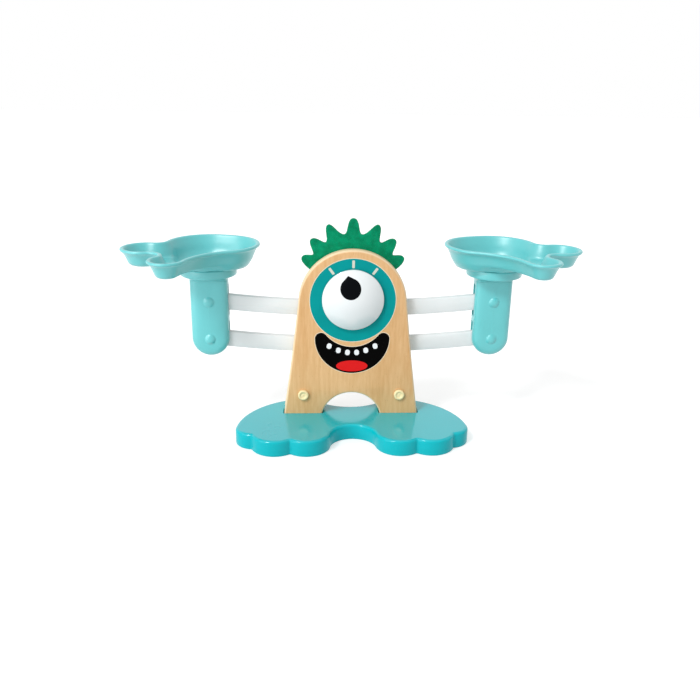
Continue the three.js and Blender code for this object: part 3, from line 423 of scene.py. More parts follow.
def drill(radius: float, front: float, back: float, x: float, z: float) -> bpy.types.Object:
    """A plain round bar along Y to cut with.

    Args:
        radius: Its radius.
        front: Where its front end is along Y.
        back: Where its rear end is along Y.
        x: Place of its axis along X.
        z: Height of its axis.

    Returns:
        The bar.
    """
    bpy.ops.mesh.primitive_cylinder_add(
        vertices=48, radius=radius, depth=back - front,
        location=(x, (front + back) / 2, z), rotation=(math.pi / 2, 0, 0),
    )
    return bpy.context.object


def twin(
    obj: bpy.types.Object, name: str, mirror: Vector = Vector((-1, 1, 1)), move: Vector = Vector()
) -> bpy.types.Object:
    """A finished piece's mirror image with its own mesh.

    Args:
        obj: The finished piece.
        name: The image's name.
        mirror: Minus one for the axis along which the piece is turned over, and one for the others.
        move: How far the image is moved.

    Returns:
        The image.
    """
    take(obj)
    bpy.ops.object.duplicate()
    copy = bpy.context.object
    copy.location = move
    copy.scale = mirror
    take(copy)
    bpy.ops.object.transform_apply(location=True, rotation=True, scale=True)
    shape = bmesh.new()
    shape.from_mesh(copy.data)
    inside_out = shape.calc_volume(signed=True) < 0
    shape.free()
    if inside_out:
        with editing(copy):
            bpy.ops.mesh.select_all(action="SELECT")
            bpy.ops.mesh.flip_normals()
    copy.name = name
    copy.data.name = name
    return copy


def stands_for(obj: bpy.types.Object, body: str, slot: str, *nodes: str) -> None:
    """A piece rides on a body and stands for CAD nodes, which are hidden.

    Args:
        obj: The finished piece.
        body: The body it rides on.
        slot: The record's material slot, not used.
        *nodes: The CAD nodes that it stands for.
    """
    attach(obj, body)
    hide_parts(*nodes)


def smooth_copy(node: str, name: str, body: str, slot: str) -> bpy.types.Object:
    """A CAD node's merged copy with smooth shading, which stands for the node.

    Args:
        node: The CAD node.
        name: The piece's name.
        body: The body it rides on.
        slot: The record's material slot.

    Returns:
        The new object.
    """
    source = frame["nodes"][node]
    take(source)
    bpy.ops.object.duplicate()
    obj = bpy.context.object
    obj.parent = None
    for key in list(obj.keys()):
        del obj[key]
    with editing(obj):
        bpy.ops.mesh.select_all(action="SELECT")
        bpy.ops.mesh.customdata_custom_splitnormals_clear()
        bpy.ops.mesh.remove_doubles(threshold=2 * WELD)
        bpy.ops.mesh.dissolve_limited(angle_limit=math.radians(0.5))
    settle(obj, name, 32)
    stands_for(obj, body, slot, node)
    return obj


# Finishes


Input = bpy.types.NodeSocket | Colour | float


@dataclass
class Nodes:
    """A node tree with short ways to add and join its nodes."""

    tree: bpy.types.NodeTree

    def add(self, kind: str, **settings: object) -> bpy.types.Node:
        """Adds one node and sets its own settings.

        Args:
            kind: The node's type.
            **settings: The node's own settings.

        Returns:
            The new node.
        """
        node = self.tree.nodes.new(kind)
        for key, value in settings.items():
            setattr(node, key, value)
        return node

    def join(self, out: bpy.types.NodeSocket, into: bpy.types.NodeSocket) -> None:
        """Joins two sockets."""
        self.tree.links.new(out, into)

    def give(self, value: Input, into: bpy.types.NodeSocket) -> None:
        """Joins a socket to an input, or sets the input to a plain value.

        Args:
            value: A socket or a plain value.
            into: The input that takes it.
        """
        if isinstance(value, bpy.types.NodeSocket):
            self.join(value, into)
        else:
            into.default_value = value

    def maths(self, operation: str, a: Input, b: Input) -> bpy.types.NodeSocket:
        """A Math node of two values or sockets.

        Args:
            operation: What it works out.
            a: The first value or socket.
            b: The second value or socket.

        Returns:
            The result's socket.
        """
        node = self.add("ShaderNodeMath", operation=operation)
        for socket, value in zip(node.inputs, (a, b)):
            self.give(value, socket)
        return node.outputs[0]

    def mix(self, share: Input, a: Input, b: Input) -> bpy.types.NodeSocket:
        """A colour mix of two colours or sockets by a share.

        Args:
            share: Share of the second colour.
            a: The first colour.
            b: The second colour.

        Returns:
            The colour's socket.
        """
        node = self.add("ShaderNodeMix", data_type="RGBA")
        for name, value in (("Factor_Float", share), ("A_Color", a), ("B_Color", b)):
            self.give(value, next(s for s in node.inputs if s.identifier == name))
        return next(s for s in node.outputs if s.identifier == "Result_Color")

    def noise(
        self, vector: bpy.types.NodeSocket, scale: Input, detail: float, rough: float = 0.5
    ) -> bpy.types.NodeSocket:
        """A noise value, 0 to 1.

        Args:
            vector: The place it is read at.
            scale: Size per metre.
            detail: How many finer layers it has.
            rough: Strength of the finer layers.

        Returns:
            The value's socket.
        """
        node = self.add("ShaderNodeTexNoise")
        self.join(vector, node.inputs["Vector"])
        self.give(scale, node.inputs["Scale"])
        node.inputs["Detail"].default_value = detail
        node.inputs["Roughness"].default_value = rough
        return node.outputs["Fac"]

    def between(
        self, value: bpy.types.NodeSocket, low: float, high: float, to: Point = (0.0, 1.0)
    ) -> bpy.types.NodeSocket:
        """A value spread from one range to another and kept inside it.

        Args:
            value: The value's socket.
            low: The value that gives the new range's start.
            high: The value that gives the new range's end.
            to: The new range.

        Returns:
            The new value's socket.
        """
        node = self.add("ShaderNodeMapRange")
        self.join(value, node.inputs["Value"])
        for name, number in zip(("From Min", "From Max", "To Min", "To Max"), (low, high, *to)):
            node.inputs[name].default_value = number
        return node.outputs["Result"]


def group(
    name: str, inputs: dict[str, Colour | float], outputs: Sequence[str]
) -> tuple[Nodes, bpy.types.Node, bpy.types.Node]:
    """A new shader group with named sockets.

    Args:
        name: The group's name.
        inputs: Default value of each input, a colour or a number.
        outputs: Names of the outputs. The one named Color is a colour, the others are numbers.

    Returns:
        The group's nodes, its input node and its output node.
    """
    tree = bpy.data.node_groups.new(name, "ShaderNodeTree")
    for label, value in inputs.items():
        kind = "NodeSocketColor" if isinstance(value, tuple) else "NodeSocketFloat"
        socket = tree.interface.new_socket(name=label, in_out="INPUT", socket_type=kind)
        socket.default_value = value
    for label in outputs:
        kind = "NodeSocketColor" if label == "Color" else "NodeSocketFloat"
        tree.interface.new_socket(name=label, in_out="OUTPUT", socket_type=kind)
    nodes = Nodes(tree)
    return nodes, nodes.add("NodeGroupInput"), nodes.add("NodeGroupOutput")


def mottle_group() -> None:
    """Builds the group for a colour in soft clouds, with a fine relief."""
    nodes, source, result = group(
        "mottle",
        {
            "Dark": (0.2, 0.2, 0.2, 1.0),
            "Light": (0.3, 0.3, 0.3, 1.0),
            "Scale": 40.0,
            "Fine Scale": 900.0,
            "Roughness": 0.4,
            "Spread": 0.05,
        },
        ("Color", "Roughness", "Height"),
    )
    place = nodes.add("ShaderNodeTexCoord").outputs["Object"]
    cloud = nodes.between(nodes.noise(place, source.outputs["Scale"], 3), 0.3, 0.7)
    fine = nodes.noise(place, source.outputs["Fine Scale"], 2)
    nodes.join(nodes.mix(cloud, source.outputs["Dark"], source.outputs["Light"]), result.inputs["Color"])
    swing = nodes.maths("MULTIPLY", nodes.maths("SUBTRACT", cloud, 0.5), source.outputs["Spread"])
    nodes.join(nodes.maths("ADD", source.outputs["Roughness"], swing), result.inputs["Roughness"])
    nodes.join(fine, result.inputs["Height"])


def grain_group() -> None:
    """Builds the group for fine-pored wood with an upright grain and ply layers on its sides; its paler Edge
    colour on the rounded edges and sides is a painted highlight.
    """
    nodes, source, result = group(
        "grain",
        {
            "Light": (0.7, 0.45, 0.25, 1.0),
            "Dark": (0.6, 0.36, 0.18, 1.0),
            "Pore": (0.4, 0.2, 0.1, 1.0),
            "Edge": (0.9, 0.75, 0.55, 1.0),
            "Stretch": 9.0,
            "Layers": 500.0,
        },
        ("Color", "Roughness", "Height"),
    )
    split = nodes.add("ShaderNodeSeparateXYZ")
    nodes.join(nodes.add("ShaderNodeTexCoord").outputs["Object"], split.inputs[0])

    def stretched(by: Input) -> bpy.types.NodeSocket:
        """The place with its height shrunk, so that a pattern on it runs upright.

        Args:
            by: How many times the pattern gets longer.

        Returns:
            The place's socket.
        """
        place = nodes.add("ShaderNodeCombineXYZ")
        nodes.join(split.outputs["X"], place.inputs["X"])
        nodes.join(split.outputs["Y"], place.inputs["Y"])
        nodes.join(nodes.maths("DIVIDE", split.outputs["Z"], by), place.inputs["Z"])
        return place.outputs[0]

    long = stretched(source.outputs["Stretch"])
    broad = nodes.between(nodes.noise(long, 60, 3, 0.55), 0.3, 0.7)
    streak = nodes.between(nodes.noise(long, 420, 3, 0.6), 0.35, 0.75)
    pore = nodes.between(nodes.noise(stretched(5.0), 1500, 1), 0.66, 0.78)
    cloud = nodes.maths("MULTIPLY", nodes.maths("ADD", broad, streak), 0.5)
    face = nodes.mix(cloud, source.outputs["Light"], source.outputs["Dark"])
    face = nodes.mix(nodes.maths("MULTIPLY", pore, 0.45), face, source.outputs["Pore"])
    normal = nodes.add("ShaderNodeSeparateXYZ")
    nodes.join(nodes.add("ShaderNodeNewGeometry").outputs["Normal"], normal.inputs[0])
    sideways = nodes.between(nodes.maths("ABSOLUTE", normal.outputs["Y"], 0.0), 0.99, 0.8)
    turns = nodes.maths("MULTIPLY", source.outputs["Layers"], math.tau)
    layer = nodes.maths("SINE", nodes.maths("MULTIPLY", split.outputs["Y"], turns), 0.0)
    layer = nodes.maths("MULTIPLY", nodes.between(layer, 0.2, 0.8), sideways)
    # Painted highlight: faces turned away from the front, the rounded edges and sides, take the paler Edge
    # colour.
    edge = nodes.mix(nodes.maths("MULTIPLY", sideways, 0.85), face, source.outputs["Edge"])
    edge = nodes.mix(nodes.maths("MULTIPLY", layer, 0.22), edge, source.outputs["Dark"])
    nodes.join(edge, result.inputs["Color"])
    nodes.join(nodes.between(streak, 0, 1, (0.42, 0.55)), result.inputs["Roughness"])
    nodes.join(nodes.maths("SUBTRACT", streak, pore), result.inputs["Height"])


def felt_group() -> None:
    """Builds the group for pressed fibres: a mottled colour, short light hairs and a rough relief."""
    nodes, source, result = group(
        "felt",
        {"Dark": (0.0, 0.2, 0.1, 1.0), "Light": (0.0, 0.3, 0.15, 1.0), "Hair": (0.1, 0.4, 0.25, 1.0)},
        ("Color", "Height"),
    )
    place = nodes.add("ShaderNodeTexCoord").outputs["Object"]
    cloud = nodes.between(nodes.noise(place, 160, 5, 0.7), 0.35, 0.65)
    fine = nodes.between(nodes.noise(place, 1300, 4, 0.8), 0.35, 0.68)
    wave = nodes.add("ShaderNodeTexWave", wave_type="BANDS", bands_direction="DIAGONAL")
    nodes.join(place, wave.inputs["Vector"])
    for label, value in (("Scale", 260), ("Distortion", 22), ("Detail", 3), ("Detail Scale", 2.6)):
        wave.inputs[label].default_value = value
    hair = nodes.between(wave.outputs["Fac"], 0.86, 1.0)
    base = nodes.mix(cloud, source.outputs["Dark"], source.outputs["Light"])
    base = nodes.mix(nodes.maths("MULTIPLY", fine, 0.5), base, source.outputs["Light"])
    base = nodes.mix(nodes.maths("MULTIPLY", hair, 0.35), base, source.outputs["Hair"])
    nodes.join(base, result.inputs["Color"])
    height = nodes.maths("ADD", nodes.maths("MULTIPLY", fine, 0.7), nodes.maths("MULTIPLY", hair, 0.5))
    nodes.join(height, result.inputs["Height"])


@dataclass(frozen=True)
class Finish:
    """A material: two close colours in soft clouds, with a gloss and a fine relief."""

    name: str
    dark: Colour
    light: Colour
    roughness: float = 0.4
    spread: float = 0.06
    scale: float = 35.0
    fine_scale: float = 700.0
    relief: float = 0.03
    metallic: float = 0.0
    coat: float = 0.0
    coat_roughness: float = 0.1
    coat_ior: float = 1.5
    side_coat: float | None = None
    specular: float = 0.5
    subsurface: float = 0.0
    subsurface_reach: tuple[float, float, float] = (4 * MM, 6 * MM, 6 * MM)

    def shader(self) -> tuple[bpy.types.Material, Nodes, bpy.types.Node]:
        """A new material with the sockets set that are the same all over.

        Returns:
            The material, its nodes and its shader.
        """
        material = bpy.data.materials.new(self.name)
        material.use_nodes = True
        nodes = Nodes(material.node_tree)
        shader = material.node_tree.nodes["Principled BSDF"]
        for label, value in (
            ("Metallic", self.metallic),
            ("Coat Weight", self.coat),
            ("Coat Roughness", self.coat_roughness),
            ("Coat IOR", self.coat_ior),
            ("Specular IOR Level", self.specular),
            ("Subsurface Weight", self.subsurface),
        ):
            shader.inputs[label].default_value = value
        shader.inputs["Subsurface Radius"].default_value = self.subsurface_reach
        return material, nodes, shader

    def effect(self, nodes: Nodes, shader: bpy.types.Node, kind: str, **values: Colour | float) -> None:
        """Places a shared effect and feeds the shader with its colour, roughness and relief.

        Args:
            nodes: The material's nodes.
            shader: The material's shader.
            kind: The effect's name.
            **values: The effect's inputs, with their names in small letters.
        """
        node = nodes.add("ShaderNodeGroup", node_tree=bpy.data.node_groups[kind])
        for label, value in values.items():
            node.inputs[label.replace("_", " ").title()].default_value = value
        nodes.join(node.outputs["Color"], shader.inputs["Base Color"])
        if "Roughness" in node.outputs:
            nodes.join(node.outputs["Roughness"], shader.inputs["Roughness"])
        else:
            shader.inputs["Roughness"].default_value = self.roughness
        bump = nodes.add("ShaderNodeBump")
        bump.inputs["Strength"].default_value = self.relief
        bump.inputs["Distance"].default_value = 0.4 * MM
        nodes.join(node.outputs["Height"], bump.inputs["Height"])
        nodes.join(bump.outputs["Normal"], shader.inputs["Normal"])

    def make(self) -> bpy.types.Material:
        """Builds the material.

        Returns:
            The material.
        """
        material, nodes, shader = self.shader()
        self.effect(
            nodes, shader, "mottle", dark=self.dark, light=self.light, scale=self.scale,
            fine_scale=self.fine_scale, roughness=self.roughness, spread=self.spread,
        )
        if self.side_coat is not None:
            facing = nodes.add("ShaderNodeSeparateXYZ")
            nodes.join(nodes.add("ShaderNodeTexCoord").outputs["Normal"], facing.inputs["Vector"])
            coat = nodes.between(facing.outputs["Z"], 0.5, 0.95, (self.side_coat, self.coat))
            nodes.join(coat, shader.inputs["Coat Weight"])
        return material


@dataclass(frozen=True)
class Wood(Finish):
    """Pale layered board with an upright grain under a satin coat."""

    pore: Colour = (0.3, 0.15, 0.07, 1.0)
    # Colour of faces turned away from the front; on the board it is paler, a painted highlight on the rounded
    # edges.
    edge: Colour = (0.9, 0.75, 0.55, 1.0)
    stretch: float = 9.0
    layers: float = 620.0

    def make(self) -> bpy.types.Material:
        """Builds the material.

        Returns:
            The material.
        """
        material, nodes, shader = self.shader()
        self.effect(
            nodes, shader, "grain", light=self.light, dark=self.dark, pore=self.pore,
            edge=self.edge, stretch=self.stretch, layers=self.layers,
        )
        return material


@dataclass(frozen=True)
class Felt(Finish):
    """Pressed felt with short hairs and a soft sheen."""

    hair: Colour = (0.1, 0.4, 0.25, 1.0)
    sheen: float = 0.06

    def make(self) -> bpy.types.Material:
        """Builds the material.

        Returns:
            The material.
        """
        material, nodes, shader = self.shader()
        self.effect(nodes, shader, "felt", light=self.light, dark=self.dark, hair=self.hair)
        shader.inputs["Sheen Weight"].default_value = self.sheen
        shader.inputs["Sheen Roughness"].default_value = 0.5
        return material


class Finishes:
    """All finishes of the balance, each built once."""

    def __init__(self) -> None:
        """Builds the shared groups and the materials."""
        mottle_group()
        grain_group()
        felt_group()
        # The board's pale edge colour is a painted highlight on its rounded edges and sides.
        self.board = Wood(
            "pale_board", colour(206, 156, 99), colour(229, 188, 138), relief=0.12, specular=0.3,
            coat=0.1, coat_roughness=0.35, pore=colour(176, 122, 74), edge=colour(246, 222, 186), layers=420,
        ).make()
        self.peg_wood = Wood(
            "cream_wood", colour(240, 216, 160), colour(250, 232, 184), relief=0.1, coat=0.25,
            coat_roughness=0.25, pore=colour(222, 190, 132), edge=colour(236, 214, 160), layers=1.0,
        ).make()
        self.felt = Felt(
            "green_felt", colour(0, 122, 82), colour(0, 164, 116), roughness=1.0, relief=0.9,
            specular=0.03, hair=colour(60, 186, 142),
        ).make()
        self.base_paint = Finish(
            "teal_paint", colour(0, 175, 184), colour(0, 179, 189), roughness=0.3, coat=1.0,
            coat_roughness=0.11, coat_ior=1.6, side_coat=0.15, specular=0.1, scale=18,
            fine_scale=420, relief=0.02,
        ).make()
        self.aqua = Finish(
            "aqua_plastic", colour(86, 190, 192), colour(94, 196, 199), roughness=0.4, coat=1.0,
            coat_roughness=0.36, coat_ior=1.65, specular=0.3, scale=22, fine_scale=1400,
            relief=0.03, subsurface=0.08,
        ).make()
        self.white_plastic = Finish(
            "white_plastic", colour(224, 227, 227), colour(231, 233, 233), roughness=0.36,
            scale=25, fine_scale=1200, relief=0.03, subsurface=0.05,
        ).make()
        self.eye_white = Finish(
            "glossy_white", colour(226, 230, 231), colour(231, 235, 236), roughness=0.12, coat=0.4,
            coat_roughness=0.05, fine_scale=300, relief=0.01, spread=0.02,
        ).make()
        self.pupil_black = Finish(
            "glossy_black", colour(3, 4, 7), colour(6, 8, 12), roughness=0.28,
            specular=0.04, fine_scale=300, relief=0.01, spread=0.02,
        ).make()
        self.print_teal = Finish(
            "teal_print", colour(0, 140, 140), colour(0, 152, 152),
            roughness=0.5, specular=0.08, relief=0.05,
        ).make()
        self.print_tick = Finish(
            "tick_print", colour(204, 206, 192), colour(216, 216, 202),
            roughness=0.5, specular=0.2, relief=0.05,
        ).make()
        self.print_pale = Finish(
            "pale_print", colour(232, 212, 180), colour(240, 222, 194),
            roughness=0.5, specular=0.2, relief=0.05,
        ).make()
        self.print_black = Finish(
            "black_print", colour(3, 3, 3), colour(6, 5, 5),
            roughness=0.5, specular=0.02, relief=0.05,
        ).make()
        self.print_white = Finish(
            "white_print", colour(232, 234, 236), colour(238, 239, 241),
            roughness=0.5, specular=0.2, relief=0.05,
        ).make()
        self.print_red = Finish(
            "red_print", colour(216, 24, 26), colour(224, 32, 33),
            roughness=0.5, specular=0.08, relief=0.05,
        ).make()
        self.steel = Finish(
            "bright_steel", colour(176, 179, 184), colour(190, 193, 198), roughness=0.28, metallic=1.0,
            fine_scale=2500, relief=0.08,
        ).make()
        self.nylon = Finish(
            "pale_nylon", colour(226, 223, 212), colour(235, 232, 222), roughness=0.45, subsurface=0.05,
        ).make()


def dress(obj: bpy.types.Object, material: bpy.types.Material) -> None:
    """Gives an object one material all over."""
    obj.data.materials.clear()
    obj.data.materials.append(material)


# The stand


@dataclass
class Screw:
    """A round-headed screw with a hexagon socket, driven along Y with its head at the back."""

    finishes: Finishes
    radius: float = 1.5 * MM
    head_radius: float = 2.6 * MM
    head_height: float = 1.8 * MM
    socket_radius: float = 1.25 * MM
    socket_depth: float = 1.0 * MM

    def model(self, name: str, grip: float) -> bpy.types.Object:
        """Models one screw at the origin, its head's seat at Y zero.

        Args:
            name: The piece's name.
            grip: Length of the shank.

        Returns:
            The screw.
        """
        top, wide = self.head_height, self.head_radius
        profile = [
            (0, -grip), (self.radius * 0.6, -grip), (self.radius, -grip + 0.6 * MM), (self.radius, 0),
            (wide - 0.1 * MM, 0), (wide, 0.12 * MM), (wide, top - 0.8 * MM),
            (wide - 0.12 * MM, top - 0.45 * MM), (wide - 0.4 * MM, top - 0.12 * MM),
            (wide - 0.75 * MM, top), (0, top),
        ]
        screw = turned(name, profile, Vector(), False, 32)
        bpy.ops.mesh.primitive_cylinder_add(
            vertices=6, radius=self.socket_radius, depth=2 * self.socket_depth,
            location=(0, top, 0), rotation=(math.pi / 2, 0, 0),
        )
        carve(screw, bpy.context.object)
        return settle(screw, name, 28)

    def put(self, node: str, body: str, grip: float, place: Vector, upward: bool = False) -> None:
        """Puts a screw where a CAD screw is.

        Args:
            node: The CAD node.
            body: The body it rides on.
            grip: Length of the shank.
            place: Where its head's seat is.
            upward: True where it is driven upwards from below.
        """
        screw = self.model(f"{node}_turned", grip)
        if upward:
            screw.rotation_euler = (-math.pi / 2, 0, 0)
        screw.location = place
        settle(screw, f"{node}_turned", 28)
        dress(screw, self.finishes.steel)
        stands_for(screw, body, "steel", node)

    def fit(self, node: str, body: str) -> None:
        """Puts a screw where a CAD screw runs along Y, as long as that one.

        Args:
            node: The CAD node.
            body: The body it rides on.
        """
        low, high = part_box(node)
        seat = Vector(((low.x + high.x) / 2, high.y - self.head_height, (low.z + high.z) / 2))
        self.put(node, body, seat.y - low.y, seat)


@dataclass
class Base:
    """The teal base plate with its two broad feet, and the screws that come up through it."""

    finishes: Finishes
    half_width: float = 105.7 * MM
    thickness: float = 15.0 * MM
    top_round: float = 2.6 * MM
    foot_round: float = 1.2 * MM
    flat_edge: float = 0.8 * MM
    mortise_floor: float = 7.0 * MM
    mortise_reach: float = 4 * MM
    leg_x: Point = (25.98 * MM, 63.6 * MM)
    leg_y: Point = (-0.3 * MM, 11.0 * MM)
    screw_y: float = 5 * MM
    screw_seat: float = 2.4 * MM
    screw_grip: float = 14 * MM

    def outline(self, inset: float) -> list[Point]:
        """The plan outline: the right foot's lobes, as shares of the half width, then their mirror images.

        Args:
            inset: How far it is drawn in.

        Returns:
            Points, X and Y, counter-clockwise.
        """
        w = self.half_width
        right = [
            Lobe(0.397 * w, -0.364 * w, 0.208 * w, 0.016 * w),
            Lobe(0.662 * w, -0.36 * w, 0.208 * w, 0.016 * w),
            Lobe(0.841 * w, -0.27 * w, 0.159 * w, 0.665 * w, True),
            Lobe(0.433 * w, 0.129 * w, 0.208 * w, 0.393 * w),
        ]
        webs = [(0.196 * w, False), *((lobe.web, lobe.full) for lobe in right[:-1])]
        left = [Lobe(-lobe.x, lobe.y, lobe.r, *web) for lobe, web in zip(right, webs)]
        return lobed([*right, *reversed(left)], inset, 5)

    def build(self) -> None:
        """Makes the plate with rounded edges and mortises, and its screws."""
        rings = [(self.outline(self.foot_round), 0.0)]
        for i in range(1, 4):
            a = math.pi / 6 * i
            level = self.foot_round * (1 - math.cos(a))
            rings.append((self.outline(self.foot_round * (1 - math.sin(a))), level))
        for i in range(7):
            a = math.pi / 12 * i
            level = self.thickness - self.top_round * (1 - math.sin(a))
            rings.append((self.outline(self.top_round * (1 - math.cos(a))), level))
        rings.append((self.outline(self.top_round + self.flat_edge), self.thickness))
        plate = skinned("base", rings, upright)
        for side in Side:
            xs = sorted((side.value * self.leg_x[0], side.value * self.leg_x[1]))
            low = Vector((xs[0], self.leg_y[0], self.mortise_floor))
            carve(plate, block(low, Vector((xs[1], self.leg_y[1], self.thickness + self.mortise_reach))))
        settle(plate, "base", 25)
        dress(plate, self.finishes.base_paint)
        stands_for(plate, "stand", "base_teal", "base_plate")
        screw = Screw(self.finishes)
        for side in Side:
            for place in ("inner", "outer"):
                node = f"{side.label}_{place}_base_screw"
                low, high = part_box(node)
                seat = Vector(((low.x + high.x) / 2, self.screw_y, self.screw_seat))
                screw.put(node, "stand", self.screw_grip, seat, upward=True)
        log.info("base: plate of %d faces and four screws", len(plate.data.polygons))


@dataclass
class Body:
    """The two wooden panels, what keeps them apart, and what fastens them."""

    finishes: Finishes
    foot_half: float = 62.6 * MM
    base_top: float = 15.0 * MM
    leg_foot: float = 7.3 * MM
    head_radius: float = 48.8 * MM
    head_z: float = 122.1 * MM
    rear_drop: float = 8.5 * MM
    tangent: float = math.radians(6.5)
    hollow: float = 1.0 * MM
    arch_radius: float = 28.0 * MM
    arch_z: float = 7.5 * MM
    front_round: float = 2 * MM
    rear_round: float = 1 * MM
    rear_foot: float = 0.3 * MM
    peg_z: float = 33.9 * MM
    upper_pivot: float = 126.2 * MM
    lower_pivot: float = 91.0 * MM
    through: Point = (-5 * MM, 30 * MM)
    blind: Point = (4 * MM, 30 * MM)
    eye_bore: float = 6.8 * MM
    journal_bore: float = 5.3 * MM
    axle_bore: float = 3.3 * MM
    axle_head: float = 2 * MM

    def outline(self, bottom: float, head_z: float) -> list[Point]:
        """A panel's outline from a height up: legs, arch, leaning sides and round head.

        Args:
            bottom: Height of the legs' ends.
            head_z: Height of the head's middle.

        Returns:
            Points, X and Z, counter-clockwise.
        """
        foot_z = max(bottom, self.base_top)
        end_x = self.head_radius * math.cos(self.tangent)
        end_z = head_z + self.head_radius * math.sin(self.tangent)
        bend = ((self.foot_half + end_x) / 2 - self.hollow, (self.base_top + end_z) / 2)
        side: list[Point] = []
        foot, end, steps = (self.foot_half, foot_z), (end_x, end_z), 20
        for i in range(steps):
            t = i / steps
            k = ((1 - t) ** 2, 2 * t * (1 - t), t * t)
            side.append(tuple(k[0] * a + k[1] * b + k[2] * c for a, b, c in zip(foot, bend, end)))
        head = arc(0, head_z, self.head_radius, self.tangent, math.pi - 2 * self.tangent, math.radians(2.5))
        left = [(-end_x, end_z), *((-x, z) for x, z in reversed(side))]
        angle = math.asin((foot_z - self.arch_z) / self.arch_radius)
        arch = arc(0, self.arch_z, self.arch_radius, math.pi - angle, 2 * angle - math.pi, math.radians(4))
        arch_x = self.arch_radius * math.cos(angle)
        points = [*side, *head, *left]
        if bottom == foot_z:
            return [*points, *arch, (arch_x, foot_z)]
        left_leg = [(-self.foot_half, bottom), (-arch_x, bottom)]
        return [*points, *left_leg, *arch, (arch_x, foot_z), (arch_x, bottom), (self.foot_half, bottom)]

    def panel(
        self, name: str, node: str, outline: Sequence[Point], rounding: float, bores: dict[Point, Point]
    ) -> None:
        """One panel with rounded edges and bores.

        Args:
            name: The piece's name.
            node: The CAD node that it stands for.
            outline: Its outline, X and Z.
            rounding: Rounding of its edges.
            bores: For the height and radius of each bore, where it starts and ends along Y.
        """
        low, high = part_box(node)
        board = cut_sheet(name, outline, low.y, high.y, rounding)
        for (z, radius), (front, back) in bores.items():
            carve(board, drill(radius, front, back, 0, z))
        settle(board, name)
        dress(board, self.finishes.board)
        stands_for(board, "stand", "wood", node)

    def peg(self, side: Side) -> bpy.types.Object:
        """A peg through both panels, with a turned head and a dimple in its middle.

        Args:
            side: The leg it is in.

        Returns:
            The peg.
        """
        low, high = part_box(f"{side.label}_peg")
        foot = Vector(((low.x + high.x) / 2, 0, self.peg_z))
        back = -high.y
        profile = [
            (0, back - 0.35 * MM), (2.2, back - 0.3 * MM), (2.75, back - 0.12 * MM), (3.0, back + 0.2 * MM),
            (3.0, 0.3 * MM), (4.9, 0.3 * MM), (5.0, 0.45 * MM), (5.0, 1.7 * MM), (4.85, 2.1 * MM),
            (4.5, 2.42 * MM), (4.0, 2.58 * MM), (3.5, 2.6 * MM), (3.15, 2.5 * MM), (2.8, 2.15 * MM),
            (2.3, 1.85 * MM), (1.6, 1.75 * MM), (0.8, 1.85 * MM), (0, 1.95 * MM),
        ]
        name = f"{side.label}_wood_peg"
        return settle(turned(name, [(r * MM, h) for r, h in profile], foot, True, 48), name, 40)

    def axle(self) -> bpy.types.Object:
        """The lower beam's axle, with its head at the back.

        Returns:
            The axle.
        """
        low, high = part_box("lower_axle")
        seat = Vector((0, high.y - self.axle_head, (low.z + high.z) / 2))
        tip = low.y - seat.y
        profile = [
            (0, tip), (3.0, tip), (3.0, 0), (5.4, 0), (5.5, 0.15 * MM), (5.5, 0.9 * MM), (5.2, 1.35 * MM),
            (4.6, 1.7 * MM), (3.6, 1.93 * MM), (2.0, 2.0 * MM), (0, 2.0 * MM),
        ]
        return settle(turned("axle", [(r * MM, h) for r, h in profile], seat, False, 48), "axle", 30)

    def build(self) -> None:
        """Makes the panels, blocks, pegs, screws, axle and washers."""
        upper, lower = self.upper_pivot, self.lower_pivot
        front = {(upper, self.eye_bore): self.through, (lower, self.axle_bore): self.blind}
        rear = {(upper, self.journal_bore): self.through, (lower, self.axle_bore): self.through}
        whole = self.outline(self.leg_foot, self.head_z)
        self.panel("front_board", "front_panel", whole, self.front_round, front)
        lowered = self.outline(self.base_top + self.rear_foot, self.head_z - self.rear_drop)
        self.panel("rear_board", "rear_panel", lowered, self.rear_round, rear)
        dress(smooth_copy("crest_spacer", "crest_block", "stand", "wood"), self.finishes.board)
        screw = Screw(self.finishes)
        for side in Side:
            spacer = smooth_copy(f"{side.label}_leg_spacer", f"{side.label}_leg_block", "stand", "wood")
            dress(spacer, self.finishes.board)
            peg = self.peg(side)
            dress(peg, self.finishes.peg_wood)
            stands_for(peg, "stand", "peg_cream", f"{side.label}_peg")
            screw.fit(f"{side.label}_crest_screw", "stand")
        axle = self.axle()
        dress(axle, self.finishes.steel)
        stands_for(axle, "stand", "steel", "lower_axle")
        for pivot in ("upper", "lower"):
            for place in ("front", "rear"):
                dress(frame["nodes"][f"{pivot}_{place}_washer"], self.finishes.nylon)
        log.info("body: panels, blocks, pegs, axle and washers")


